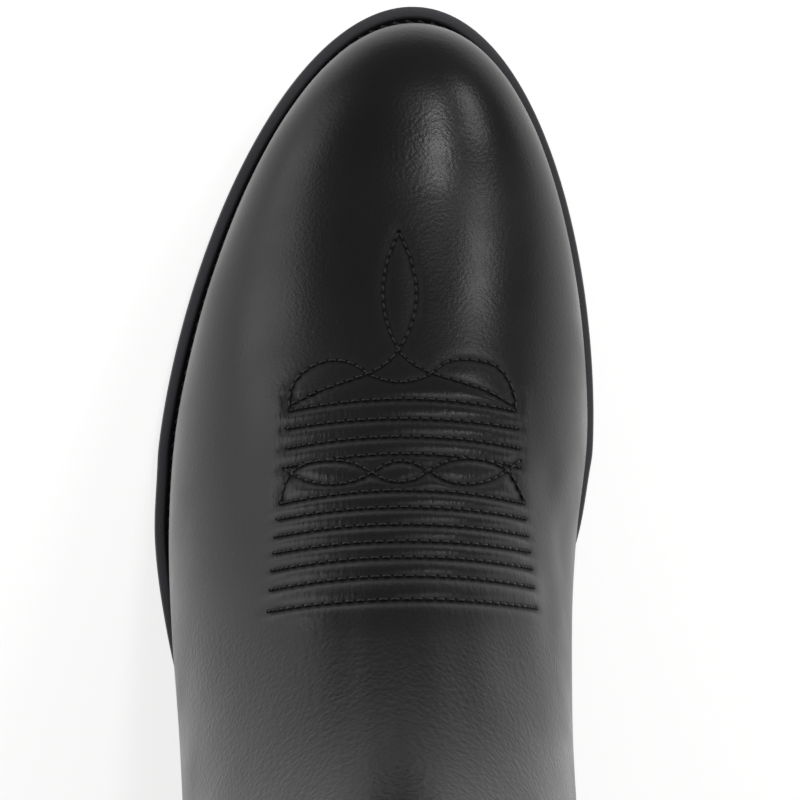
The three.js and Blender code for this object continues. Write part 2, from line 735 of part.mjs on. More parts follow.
const weltPath = edgePath(true, 84 * along, 84 * along, 24);
const weltReach = WELT_MARGIN + LASTING_MARGIN - RIB_WIDTH - 2;
const floor = SEAT_GAP;
const weltSection = [
  [-weltReach, floor],
  [0, floor],
  [0, floor + WELT],
  [-RIM_WIDTH, floor + WELT],
  [-RIM_WIDTH - 0.2, floor + WELT_FLOOR],
  [-WELT_MARGIN - 2.5, floor + WELT_FLOOR],
  [-WELT_MARGIN - 4, floor + WELT_FLANGE],
  [-weltReach, floor + WELT_FLANGE],
];
const welt = edgeStrip(weltPath, weltSection, true).subtract(upperMass);

const stitchAt = -(RIM_WIDTH + 1.2);
const stitchSection = angles(0, 2 * Math.PI, 6)
  .slice(0, -1)
  .map((angle) => [
    stitchAt + THREAD_RADIUS * Math.cos(angle),
    floor + WELT_FLOOR + SEAT_GAP + THREAD_RADIUS * (1 + Math.sin(angle)),
  ]);
const threadPath = edgePath(true, 88 * along, 88 * along, 24);
const weltThread = edgeStrip(threadPath, stitchSection, true);

const heelPath = edgePath(false, 84 * along - 1, 84 * along - 1, 14);
const randSection = [
  [-11, floor],
  [0, floor],
  [0, floor + WELT_FLOOR],
  [-11, floor + WELT_FLOOR],
];
const rand = edgeStrip(heelPath, randSection, false).subtract(upperMass);

const ribLow = (f) => soleTop(f) + SEAT_GAP;
const ribStart = 92 * along;
const ribOutside = openingInset + 0.5;
const ribInside = ribOutside + RIB_WIDTH;
const rib = inPlan(ribOutside, ribStart, TIP, ribLow, formUnder).subtract(
  inPlan(ribInside, ribStart - 5, TIP, () => below, () => seat + 20),
);

const outsole = plate(solePlaces, soleSide, soleUnder, soleTop);

const shankStart = 42 * along;
const shankEnd = shankStart + SHANK_LENGTH;
const shankLow = (f) => soleTop(f) + 2;
const shank = plate(
  stations(shankStart, shankEnd, 8, false, false),
  () => SHANK_WIDTH / 2,
  shankLow,
  (f) => shankLow(f) + SHANK,
);
const fillerInset = ribInside + 0.4;
const filler = inPlan(fillerInset, shankEnd + 2, TIP, ribLow, formUnder);
const coverLow = (f) => shankLow(f) + SHANK + SEAT_GAP;
const shankCover = inPlan(fillerInset + 1.5, shankStart - 6, shankEnd - 1, coverLow, formUnder);

// ---------------------------------------------------------------- the heel
// A level slice of the heel, between two heights, drawn in towards the ground.
const heelTop = seatHeight(0);
const heelPlaces = stations(0, 1, 14, true, false);
function heelSlice(low, high) {
  const ring = (u, level) => {
    const height = (f) => (level === "top" ? seatHeight(f) - TOP_LIFT_GAP : level);
    const draw = HEEL_TAPER * (level === "top" ? 0 : 1 - level / heelTop);
    const place = mix(HEEL_BACK + 0.6 + 1.3 * draw, HEEL_BREAST - 0.35 * draw, u);
    const source = mix(HEEL_BACK + 0.6, HEEL_BREAST, u);
    const at = (side) =>
      new THREE.Vector3(side * Math.max(1, soleSide(side, source) - 0.4 - draw), place, height(place));
    return [at(medial), at(lateral)];
  };
  return loft(
    heelPlaces.map((u) => {
      const [a, b] = ring(u, low);
      const [d, c] = ring(u, high);
      return [a, b, c, d];
    }),
  );
}
const liftHeight = (seatHeight(HEEL_BREAST) - CAP) / LIFT_COUNT;
const levels = Array.from({ length: LIFT_COUNT }, (_, i) => CAP + i * liftHeight);

const nailSpots = Array.from({ length: NAIL_COUNT }, (_, i) => {
  const angle = mix(-0.2, Math.PI + 0.2, i / (NAIL_COUNT - 1));
  return [20 * across * Math.cos(angle), 30 * along - 17 * along * Math.sin(angle)];
});
function nailShape(grow) {
  const profile = [
    [0, 0.8 - grow],
    [NAIL_HEAD_RADIUS + grow, 0.8 - grow],
    [NAIL_HEAD_RADIUS + grow, 0.8 + NAIL_HEAD + grow],
    [NAIL_RADIUS + grow, 0.8 + NAIL_HEAD + grow],
    [NAIL_RADIUS + grow, NAIL_LENGTH - 2 + grow],
    [0, NAIL_LENGTH + grow],
  ].map(([r, z]) => new THREE.Vector2(r, z));
  return new THREE.LatheGeometry(profile, 10).rotateX(Math.PI / 2);
}
const nails = nailSpots.map(([s, f]) => fromGeometry(nailShape(0).translate(s, -f, 0)));
const nailHoles = nailSpots.map(([s, f]) => {
  const bore = fromGeometry(nailShape(NAIL_CLEARANCE).translate(s, -f, 0));
  const radius = NAIL_HEAD_RADIUS + NAIL_CLEARANCE;
  const mouth = new THREE.CylinderGeometry(radius, radius, 4, 10);
  mouth.rotateX(Math.PI / 2).translate(s, -f, -1);
  return bore.add(fromGeometry(mouth));
});
const drilled = (piece) => nailHoles.reduce((rest, hole) => rest.subtract(hole), piece);
const cap = drilled(heelSlice(0, CAP));
const lifts = levels.map((low, i) => drilled(heelSlice(low, i === LIFT_COUNT - 1 ? "top" : levels[i + 1])));

// ---------------------------------------------------------------- trims on the shaft
// The row of the shaft that lies at a height, found by halving.
function rowAt(angle, height) {
  let low = FIRST_UPRIGHT;
  let high = TOP_ROW;
  for (let i = 0; i < 40; i += 1) {
    const row = (low + high) / 2;
    if (formPoint(row, angle).z < height) {
      low = row;
    } else {
      high = row;
    }
  }
  return high;
}

// A bead on each side seam, from the counter up to a little below the pull strap.
function piping(angle) {
  const last = rowAt(angle, topHeight(angle) - STRAP_TAIL - PIPING_STOP);
  const rows = [...flatRows.filter((row) => row >= FIRST_UPRIGHT && row < last - 0.2), last];
  const rings = rows.map((row) => {
    const out = formNormal(row, angle);
    const middle = skin(row, angle, (p) => panelOut(p) + PIPING_RADIUS);
    const sideways = formPoint(row, angle + 1e-3).sub(formPoint(row, angle - 1e-3)).normalize();
    return angles(0, 2 * Math.PI, 6)
      .slice(0, -1)
      .map((turn) =>
        middle
          .clone()
          .addScaledVector(out, PIPING_RADIUS * Math.cos(turn))
          .addScaledVector(sideways, PIPING_RADIUS * Math.sin(turn)),
      );
  });
  return loft(rings);
}

// A folded strip over the raw edges of the panels and the lining.
const bindingIn = (point) => panelOut(point) + BINDING_GAP;
const bindingOut = (point) => bindingIn(point) + BINDING;
const topSpan = (angle) => topHeight(angle) - formPoint(LAST_RING, angle).z;
const bindingRings = fullTurn.map((angle) => {
  const down = (depth) => TOP_ROW - depth / topSpan(angle);
  const wall = (depth, reach) => skin(down(depth), angle, reach);
  const over = (reach, rise) => wall(0, reach).add(new THREE.Vector3(0, 0, rise));
  return [
    wall(BINDING_DEPTH, bindingOut),
    over(bindingOut, BINDING_GAP),
    over((point) => bindingOut(point) - BINDING_CORNER, BINDING_GAP + BINDING),
    over(-BINDING_GAP - BINDING + BINDING_CORNER, BINDING_GAP + BINDING),
    over(-BINDING_GAP - BINDING, BINDING_GAP),
    wall(BINDING_DEPTH, -BINDING_GAP - BINDING),
    wall(BINDING_DEPTH, -BINDING_GAP),
    over(-BINDING_GAP, BINDING_GAP),
    over(bindingIn, BINDING_GAP),
    wall(BINDING_DEPTH, bindingIn),
  ];
});
const binding = loft(bindingRings, { closed: true });

// A strap sewn to both faces of the wall, with a loop above the top line.
function pullStrap(middleAngle) {
  const wallDepth = formPoint(TOP_ROW, Math.PI / 2).distanceTo(formPoint(TOP_ROW, -Math.PI / 2)) / 2;
  const spread = STRAP_WIDTH / 2 / wallDepth;
  const turn = [-1, -0.5, 0, 0.5, 1].map((share) => middleAngle + share * spread);
  const offWall = BINDING_GAP + BINDING + STRAP_GAP + STRAP / 2;
  const outer = LINING + GAP + PANEL + offWall;
  const inner = -offWall;
  const middle = (outer + inner) / 2;
  const half = (outer - inner) / 2;
  const start = BINDING_GAP + BINDING;
  // the strap's middle line as [reach from the form, height above the top line]
  const line = [
    [outer, -STRAP_TAIL],
    [outer, -STRAP_TAIL / 2],
    [outer, -6],
    [outer, start],
    ...angles(0, Math.PI, 10).slice(1, -1).map((a) => [
      middle + half * Math.cos(a) + STRAP_BULGE * Math.sin(2 * a),
      start + (STRAP_RISE - start - STRAP / 2) * Math.sin(a),
    ]),
    [inner, start],
    [inner, -6],
    [inner, -STRAP_TAIL / 2],
    [inner, -STRAP_TAIL],
  ];
  const top = topHeight(middleAngle);
  const place = ([reach, height], angle) => {
    const row = rowAt(angle, top + height);
    const point = formPoint(row, angle);
    const out = formNormal(row, angle).setZ(0).normalize();
    point.addScaledVector(out, reach);
    point.z = top + height;
    return point;
  };
  const rings = line.map((p, i) => {
    const before = line[Math.max(i - 1, 0)];
    const after = line[Math.min(i + 1, line.length - 1)];
    const t = new THREE.Vector2(after[0] - before[0], after[1] - before[1]).normalize();
    const shift = (amount) => [p[0] + t.y * amount, p[1] - t.x * amount];
    return [
      ...turn.map((angle) => place(shift(-STRAP / 2), angle)),
      ...turn.toReversed().map((angle) => place(shift(STRAP / 2), angle)),
    ];
  });
  return loft(rings, { caps: ladder(turn.length) });
}

// ---------------------------------------------------------------- materials and assembly
const leather = (color, roughness) => new THREE.MeshStandardMaterial({ color, roughness, metalness: 0 });
const blackLeather = leather(0x1b1b1c, 0.42);
const shaftLeather = leather(0x1d1d1e, 0.45);
const liningLeather = leather(0xa9835a, 0.7);
const fibreboard = leather(0x8a6a48, 0.85);
const feltCanvas = leather(0xb9ad98, 0.95);
const insoleLeather = leather(0xc19a6b, 0.75);
const weltLeather = leather(0x222021, 0.5);
const soleLeather = leather(0x9a6b43, 0.55);
const heelLeather = leather(0x1e1c1b, 0.4);
const rubber = leather(0x181818, 0.8);
const corkFill = leather(0x8b6b47, 0.95);
const thread = leather(0x0e0e0e, 0.6);
const steel = new THREE.MeshStandardMaterial({ color: 0x8f9296, roughness: 0.4, metalness: 1 });
const brass = new THREE.MeshStandardMaterial({ color: 0xb08d4a, roughness: 0.35, metalness: 1 });

const boot = new THREE.Group();
function add(name, piece, material) {
  const { numProp, vertProperties, triVerts } = piece.getMesh();
  const positions = new Float32Array((vertProperties.length / numProp) * 3);
  for (let i = 0; i < positions.length / 3; i += 1) {
    positions.set(vertProperties.subarray(i * numProp, i * numProp + 3), i * 3);
  }
  const geometry = new THREE.BufferGeometry();
  geometry.setAttribute("position", new THREE.BufferAttribute(positions, 3));
  geometry.setIndex(new THREE.BufferAttribute(triVerts, 1));
  geometry.computeVertexNormals();
  const mesh = new THREE.Mesh(geometry, material);
  mesh.name = name;
  boot.add(mesh);
}

add("vamp", vamp, blackLeather);
add("counter_cover", counterCover, blackLeather);
add("front_shaft_panel", frontPanel, shaftLeather);
add("back_shaft_panel", backPanel, shaftLeather);
add("vamp_lining", vampLining, liningLeather);
add("front_shaft_lining", frontLining, liningLeather);
add("back_shaft_lining", backLining, liningLeather);
add("toe_box", toeBox, fibreboard);
add("vamp_interlining", interlining, feltCanvas);
add("counter_stiffener", stiffener, fibreboard);
add("side_piping_lateral", piping(0), blackLeather);
add("side_piping_medial", piping(Math.PI), blackLeather);
add("top_binding", binding, blackLeather);
add("pull_strap_lateral", pullStrap(0), shaftLeather);
add("pull_strap_medial", pullStrap(Math.PI), shaftLeather);
add("insole", insole.intersect(insideForm), insoleLeather);
add("sock_lining", sockLining.intersect(insideForm), liningLeather);
add("insole_rib", rib, feltCanvas);
add("welt", welt, weltLeather);
add("welt_thread", weltThread, thread);
add("heel_rand", rand, weltLeather);
add("cork_filler", filler, corkFill);
add("steel_shank", shank, steel);
add("shank_cover", shankCover, fibreboard);
add("outsole", outsole, soleLeather);
lifts.forEach((piece, i) => add(`heel_lift_${i + 1}`, piece, heelLeather));
add("heel_cap", cap, rubber);
nails.forEach((nail, i) => add(`heel_nail_${i + 1}`, nail, brass));

const bounds = new THREE.Box3().setFromObject(boot);
boot.children.forEach((mesh) => {
  mesh.position.set(-(bounds.min.x + bounds.max.x) / 2, -(bounds.min.y + bounds.max.y) / 2, 0);
});

export default boot;
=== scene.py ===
# %% [markdown]
# # A cowboy boot, piece by piece
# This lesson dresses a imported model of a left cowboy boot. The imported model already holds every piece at
# its real size. Here each piece that shows is modelled again, finely enough for light to run over it,
# and given the finish of real leather, thread, rubber or brass. We start by loading the fixed frame.

# %% Load the frame
import math

import bmesh
import bpy
import numpy as np
from mathutils import Matrix, Vector, kdtree
from mathutils.bvhtree import BVHTree


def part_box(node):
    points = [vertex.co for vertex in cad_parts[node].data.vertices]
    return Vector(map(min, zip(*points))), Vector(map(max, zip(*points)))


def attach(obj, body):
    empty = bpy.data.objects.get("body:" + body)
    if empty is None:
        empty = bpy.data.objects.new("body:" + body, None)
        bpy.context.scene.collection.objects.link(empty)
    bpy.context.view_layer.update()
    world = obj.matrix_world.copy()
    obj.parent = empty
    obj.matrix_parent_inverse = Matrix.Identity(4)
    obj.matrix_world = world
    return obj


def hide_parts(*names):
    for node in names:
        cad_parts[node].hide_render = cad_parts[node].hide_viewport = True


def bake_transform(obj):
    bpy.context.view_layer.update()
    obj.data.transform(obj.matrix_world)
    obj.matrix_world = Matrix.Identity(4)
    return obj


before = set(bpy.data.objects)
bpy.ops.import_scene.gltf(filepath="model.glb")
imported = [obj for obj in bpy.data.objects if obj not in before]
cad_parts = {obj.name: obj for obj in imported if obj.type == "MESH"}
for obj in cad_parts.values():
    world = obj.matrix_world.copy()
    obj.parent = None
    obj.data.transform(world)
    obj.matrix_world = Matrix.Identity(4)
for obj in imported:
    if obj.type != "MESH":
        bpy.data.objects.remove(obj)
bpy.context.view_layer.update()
MM = 0.001
print("nodes in the frame:", len(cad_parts))

# %% [markdown]
# ## The foot form
# A boot is built over a last, a wooden foot. Every leather layer is that form moved outwards by the
# layers under it. We could sculpt the form, but then the vamp, the lining and the counter would never
# quite agree. Instead it is a row of closed sections, from the toe, round the heel, up to the top line,
# with a smooth curve through every number, so any layer can be asked for at any fineness.
# Shoemakers' directions are used: s is to the outer side, f is forward from the heel, z is up.

# %% Sizes that the form follows, in millimetres
LAST_LENGTH = 290
BALL_HALF_WIDTH = 44.5
HEEL_STACK = 34  # height of the sole's underside at the heel
TOE_SPRING = 12  # and at the toe
SHAFT_TOP = 336  # height of the top line at the sides
FRONT_DIP = 34  # how far the scallop falls in front
BACK_DIP = 30
TOP_HALF_WIDTH = 46
LINING = 0.9  # thicknesses of the layers, from the foot outwards
STIFFENING = 1.1
PANEL = 1.2
COVER = 1.4
GAP = 0.25  # between two layers
OUTSOLE = 4.5
SEAT_GAP = 0.3  # between the sole and the upper
WELT_MARGIN = 5  # how far the welt shows past the upper
TOE_MARGIN = 6
HEEL_BREAST = 64  # the heel's front face
HEEL_BACK = -1
TO_VAMP = LINING + GAP + PANEL + GAP + COVER  # from the form to the vamp's grain side
TO_COUNTER = TO_VAMP + STIFFENING + GAP
TIP = LAST_LENGTH + TO_VAMP + TOE_MARGIN  # the outsole's toe tip
# the outsole's back edge lies at f = -0.7, and that ties f to the frame's Y
Y_OF_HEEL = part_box("outsole")[1][1] / MM + HEEL_BACK + 0.3


def to_frame(s, f, z):
    """Shoemaker's millimetres to the frame's metres."""
    return np.stack([np.asarray(s) * 1.0, Y_OF_HEEL - f, np.asarray(z) * 1.0], axis=-1) * MM


print("from the last's surface to the vamp's grain side is", round(TO_VAMP, 2), "mm")

# %% Curves and steps
def curve(knots):
    """A smooth curve through knots (x, y), as a function of x."""
    xs, ys = np.array(knots, float).T
    before, after = np.maximum(np.arange(len(xs)) - 1, 0), np.minimum(np.arange(len(xs)) + 1, len(xs) - 1)
    slopes = (ys[after] - ys[before]) / (xs[after] - xs[before])

    def at(x):
        i = np.clip(np.searchsorted(xs, x, side="left") - 1, 0, len(xs) - 2)
        width = xs[i + 1] - xs[i]
        u = (x - xs[i]) / width
        rise = 3 * (ys[i + 1] - ys[i]) - width * (2 * slopes[i] + slopes[i + 1])
        turn = 2 * (ys[i] - ys[i + 1]) + width * (slopes[i] + slopes[i + 1])
        return ys[i] + u * (width * slopes[i] + u * (rise + u * turn))

    return at


def smoothstep(start, end, x):
    u = np.clip((x - start) / (end - start), 0, 1)
    return u * u * (3 - 2 * u)


def mix(a, b, share):
    return a + (b - a) * share


print("a smooth step is at", float(smoothstep(0, 1, 0.25)), "a quarter of the way")

# %% [markdown]
# ## The bottom of the boot
# Seen from the side the sole lies on the ground at the ball, springs up at the toe and climbs to the
# heel seat. Seen from above its outline is a round-pointed toe that swings a little to the inner side,
# two waist curves, and a round heel.

# %% Side profile of the sole
def seat_height(f):
    return HEEL_STACK - 0.03 * f


waist_profile = curve([
    (30, seat_height(30)), (HEEL_BREAST, seat_height(HEEL_BREAST)), (100, 0.62 * HEEL_STACK),
    (140, 0.24 * HEEL_STACK), (175, 0.03 * HEEL_STACK), (200, 0), (230, 0.09 * TOE_SPRING),
    (265, 0.42 * TOE_SPRING), (TIP, TOE_SPRING),
])


def sole_under(f):
    f = np.asarray(f, float)
    return np.where(f < HEEL_BREAST, seat_height(f), waist_profile(np.maximum(f, 30)))


def sole_top(f):
    return sole_under(f) + OUTSOLE


def form_under(f):
    return sole_top(f) + SEAT_GAP + TO_COUNTER


print("the sole is", round(float(sole_under(TIP)), 1), "mm off the floor at the toe")

# %% Outline of the sole
BALL_BEHIND_TIP = 108
BALL_AT = TIP - BALL_BEHIND_TIP
SOLE_BALL = BALL_HALF_WIDTH + TO_VAMP + WELT_MARGIN - 0.6
HEEL_ROUND = 30  # the heel's outline is round behind this f
TOE_SWING = 8.3  # how far the toe's tip swings to the inner side
waist_side = {
    1: curve([(30, 35.5), (60, 36), (90, 37.5), (120, 43), (150, 50.5), (172, SOLE_BALL + 0.9),
              (BALL_AT, SOLE_BALL + 0.4)]),
    -1: curve([(30, 34.5), (60, 34), (95, 31.5), (120, 33), (150, 40), (172, 48.5),
               (BALL_AT, SOLE_BALL - 0.5)]),
}


def toe_half_width(behind, ball, widest):
    return widest * np.sqrt(np.maximum(0, 1 - np.maximum(0, 1 - behind / ball) ** 1.72))


def sole_side(side, f):
    """How far the outsole reaches to one side (1 is the outer side, -1 the inner) at f."""
    f = np.asarray(f, float)
    share = np.clip((TIP - f) / BALL_BEHIND_TIP, 0, 1)
    toe = toe_half_width(TIP - f, BALL_BEHIND_TIP, SOLE_BALL)
    toe = toe + side * (TOE_SWING * (share - 1) + 0.45 * share)
    waist = waist_side[side](np.clip(f, HEEL_ROUND, BALL_AT))
    back = np.clip((HEEL_ROUND - f) / (HEEL_ROUND - HEEL_BACK), 0, 1)
    return np.where(f > BALL_AT, toe, waist * np.sqrt(np.maximum(0, 1 - back ** 2.3)))


print("sole is", round(float(sole_side(1, 177) + sole_side(-1, 204)), 1), "mm across the ball")

# %% [markdown]
# ## The sections
# Forepart sections stand upright and close over the toes. The instep's lean back like the pages of a fan
# until they lie level in the shaft. Each is an ellipse squared off underneath, where the foot is flat.

# %% Sections of the form
# upright sections: f, underside and top above the sole, widest height, ridge shift, squareness up and down
FOREFOOT = [
    (290, 7.5, 8.5, 0.5, 0, 2.0, 2.0), (289.2, 3.8, 12.5, 0.48, 0, 2.0, 2.1),
    (287, 1.6, 17, 0.45, 0, 2.1, 2.5), (283, 0.5, 21.2, 0.41, 0, 2.2, 3.0),
    (276, 0, 25.5, 0.37, -0.5, 2.25, 3.5), (265, 0, 29.5, 0.34, -1.2, 2.2, 4.0),
    (250, 0, 34, 0.31, -2, 2.1, 4.5), (232, 0, 41, 0.28, -3, 2.0, 4.5), (214, 0, 49, 0.25, -4, 1.92, 4.5),
    (196, 0, 59, 0.23, -4.5, 1.86, 4.5),
]
# leaning sections: top f and z, bottom f and z, half width, centre, then the last four as above
INSTEP = [
    (179, 38, 173, 0, 43.6, 1.5, 0.23, -4.5, 1.82, 4.5), (163, 51.5, 149, 0, 41.8, 2.0, 0.26, -4, 1.82, 4.2),
    (149, 65.5, 122, 0, 39.6, 1.6, 0.31, -3.2, 1.86, 4.0), (137, 81, 94, 0, 38, 1.0, 0.38, -2.2, 1.9, 4.2),
    (128, 98, 64, 0, 36.6, 0.5, 0.45, -1.2, 1.95, 5.0), (122, 115, 36, 0, 35.6, 0.2, 0.5, -0.5, 2.0, 5.0),
    (119, 131, 13, 1.5, 35.4, 0, 0.52, 0, 2.05, 3.6),
]
# sections above the heel: front f and z, back f and z, half width, squareness at the back
SHAFT = [
    (117.5, 145, 1.5, 15, 35.6, 2.9), (117, 157, -0.5, 35, 36, 2.4), (117, 168, 2.5, 58, 36.6, 2.3),
    (117.3, 178, 6, 84, 37.3, 2.2), (118, 189, 6.5, 109, 38.2, 2.2), (119, 201, 4.5, 136, 39.4, 2.2),
    (120.5, 214, 1, 166, 41, 2.2), (122.5, 228, -3, 196, 43, 2.2),
]
SEAT = float(form_under(30))
print("the insole's seat is", round(SEAT, 1), "mm up")


# %% Lay the sections out as rows
FORM_BALL = 98  # how far behind the form's tip its ball is


def toe_centre(behind):
    return TOE_SWING * (np.minimum(1, behind / FORM_BALL) - 1)


rows = []  # top f and z, bottom f and z, half width, centre, widest height, ridge, squareness up and down
for f, low, high, widest, ridge, up, down in FOREFOOT:
    behind = LAST_LENGTH - f
    half = float(toe_half_width(behind, FORM_BALL, BALL_HALF_WIDTH))
    base = float(form_under(f))
    rows.append((f, base + high, f, base + low, half, toe_centre(behind), widest, ridge, up, down))
for top_f, top_z, low_f, low_z, half, centre, *rest in INSTEP:
    rows.append((top_f, SEAT + top_z, low_f, float(form_under(low_f)) + low_z, half, centre, *rest))
for front_f, front_z, back_f, back_z, half, down in SHAFT:
    rows.append((front_f, SEAT + front_z, back_f, SEAT + back_z, half, 0, 0.52, 0, 2.1, down))
rows.append((126, SHAFT_TOP - FRONT_DIP, -8, SHAFT_TOP - BACK_DIP, TOP_HALF_WIDTH, 0, 0.52, 0, 2.1, 2.2))
TOP_ROW = len(rows) - 1
LAST_RING = TOP_ROW - 1  # above this section the rows rise to the scalloped top line
field = [curve([(i, row[k]) for i, row in enumerate(rows)]) for k in range(len(rows[0]))]
print("form has", len(rows), "sections; the top line is", SHAFT_TOP, "mm up")


# %% The form as a surface
def top_height(angle):
    from_side = np.arcsin(np.minimum(1, np.abs(np.sin(angle)))) / (math.pi / 2)
    share = (1 - (1 - from_side) ** 1.15) ** 1.8
    return SHAFT_TOP - np.where(np.sin(angle) > 0, FRONT_DIP, BACK_DIP) * share


def form(row, angle):
    """Points s, f, z of the form. Angle 0 is the outer side, a quarter turn is the top or the front."""
    row, angle = np.broadcast_arrays(np.asarray(row, float), np.asarray(angle, float))
    front_f, front_z, back_f, back_z, half, centre, widest, ridge, up, down = [g(row) for g in field]
    side, rise = np.cos(angle), np.sin(angle)
    square = 2 / np.where(rise > 0, up, down)
    reach = np.sign(rise) * np.abs(rise) ** square * np.where(rise > 0, 1 - widest, widest)
    share = widest + reach
    s = centre + half * np.sign(side) * np.abs(side) ** square + ridge * np.maximum(rise, 0) ** 1.5
    z = mix(back_z, front_z, share)
    ring = [g(np.full_like(row, LAST_RING)) for g in field]
    rising = mix(mix(ring[3], ring[1], share), top_height(angle), row - LAST_RING)
    return np.stack([s, mix(back_f, front_f, share), np.where(row > LAST_RING, rising, z)], axis=-1)


def form_normal(row, angle):
    row = np.maximum(np.asarray(row, float), 0.05)
    step = 1e-3
    ahead = np.minimum(row + step, TOP_ROW)
    along = form(ahead, angle) - form(ahead - 2 * step, angle)
    around = form(row, np.asarray(angle) + step) - form(row, np.asarray(angle) - step)
    n = -np.cross(along, around)
    return n / np.maximum(np.linalg.norm(n, axis=-1, keepdims=True), 1e-12)


print("the instep is", round(float(form(11, math.pi / 2)[2])), "mm up at its middle")


# %% The leather layers over the form
def heel_zone(p):
    """1 where the heel stiffener pushes the outer leathers out, 0 elsewhere."""
    return smoothstep(88, 70, p[..., 1]) * smoothstep(SEAT + 82, SEAT + 60, p[..., 2])


def skin(row, angle, depth):
    """The form moved outwards by a depth, a number or a function of the form's points."""
    p = form(row, angle)
    amount = depth(p) if callable(depth) else np.full(p.shape[:-1], float(depth))
    return p + form_normal(row, angle) * amount[..., None]


def panel_out(p):
    return LINING + GAP + (STIFFENING + GAP) * heel_zone(p) + PANEL


def cover_out(p):
    return panel_out(p) + GAP + COVER


print("a point on the vamp's ridge is at s, f, z", skin(10.0, math.pi / 2, cover_out).round(1).tolist())

# %% [markdown]
# ## Making a sheet
# A leather panel is a flat grid laid on the form. bmesh makes the grid, and each of its points is moved
# to the place that its row and column stand for. A Solidify modifier gives the leather its thickness,
# measured inwards from the grain side, and a Bevel rounds the cut edge.

# %% Make a mesh into a piece
def finish_mesh(bm, name, material, smooth=True):
    mesh = bpy.data.meshes.new(name)
    bm.to_mesh(mesh)
    bm.free()
    mesh.polygons.foreach_set("use_smooth", [smooth] * len(mesh.polygons))
    piece = bpy.data.objects.new(name, mesh)
    bpy.context.scene.collection.objects.link(piece)
    mesh.materials.append(material)
    return piece


print("meshes before the new pieces:", len(bpy.data.meshes))


# %% A grid laid on the form
def grid(across, along, place, wrap=False):
    """A bmesh grid whose points u, v (0 to 1) go where place(u, v) says, in shoemaker's millimetres."""
    bm = bmesh.new()
    bmesh.ops.create_grid(bm, x_segments=across, y_segments=along, size=0.5)
    uv = np.array([(v.co.x + 0.5, v.co.y + 0.5) for v in bm.verts])
    for vert, co in zip(bm.verts, to_frame(*place(uv[:, 0], uv[:, 1]).T)):
        vert.co = co
    if wrap:
        bmesh.ops.remove_doubles(bm, verts=bm.verts, dist=1e-6)
    bm.normal_update()
    return bm


def face_outwards(bm, inside):
    """Turns the sheet so that its faces look away from a point in shoemaker's millimetres."""
    centre = Vector(to_frame(*inside))
    votes = sum((f.calc_center_median() - centre).dot(f.normal) * f.calc_area() for f in bm.faces)
    if votes < 0:
        bmesh.ops.reverse_faces(bm, faces=bm.faces)
    bm.normal_update()


print("one step of a 100-column sheet is", round(math.pi * BALL_HALF_WIDTH / 100, 1), "mm at the ball")


# %% A sheet of leather
def leather(bm, name, material, thickness, round_edge=0.35):
    """A sheet of leather from the surface of its grain side."""
    piece = finish_mesh(bm, name, material)
    solid = piece.modifiers.new("thickness", "SOLIDIFY")
    solid.thickness = thickness * MM
    solid.offset = -1
    if round_edge:
        bevel = piece.modifiers.new("edge", "BEVEL")
        bevel.width = round_edge * MM
        bevel.segments = 2
        bevel.limit_method = "ANGLE"
        bevel.angle_limit = math.radians(55)
    return piece


print("the vamp is", COVER, "mm thick and the lining", LINING, "mm")

# %% [markdown]
# ## Making a material
# A finish is a small tree of nodes that ends in the Principled shader. Colours are chosen on a
# screen, so they are written as screen colours and turned into the linear ones that light needs. Where a
# pattern should sit in the material, not on one picture of it, it reads the object's own coordinates.

# %% Helpers for materials
def add_node(tree, kind, links=None, **settings):
    """Adds a node, sets its properties and sockets, and links the sockets that are given an output."""
    made = tree.nodes.new(kind)
    for key, value in settings.items():
        setattr(made, key, value)
    for key, value in (links or {}).items():
        socket = made.inputs[key]
        if isinstance(value, bpy.types.NodeSocket):
            tree.links.new(value, socket)
        else:
            socket.default_value = value
    return made


def srgb(code):
    """An sRGB hex colour such as 1f1f20, as linear RGBA."""
    parts = [int(code[i:i + 2], 16) / 255 for i in (0, 2, 4)]
    return [c / 12.92 if c <= 0.04045 else ((c + 0.055) / 1.055) ** 2.4 for c in parts] + [1]


def new_material(name):
    material = bpy.data.materials.new(name)
    material.use_nodes = True
    tree = material.node_tree
    return material, tree, tree.nodes["Principled BSDF"]


print("middle grey on a screen is", round(srgb("808080")[0], 3), "in linear light")

# %% [markdown]
# ## Black calf leather
# The uppers are full-grain calf, dyed black and polished. The grain is made of small pebbles about
# 0.7 mm across with finer pores between them, which break up the highlight without being seen one by
# one. The polish varies over a few centimetres, and the leather is a little browner where it is worn.
# We could paint this, but noise at real sizes follows every piece without a seam.

# %% Leather materials
def grain_height(tree, place, pebble):
    """Height of leather grain: soft cells of a size in millimetres, with finer pores over them."""
    cells = add_node(tree, "ShaderNodeTexVoronoi", {"Vector": place, "Scale": 1000 / pebble},
                     feature="SMOOTH_F1").outputs["Distance"]
    pores = add_node(tree, "ShaderNodeTexNoise", {"Vector": place, "Scale": 2200 / pebble, "Detail": 2.0})
    return add_node(tree, "ShaderNodeMix", {0: 0.35, 2: cells, 3: pores.outputs["Fac"]}).outputs[0]


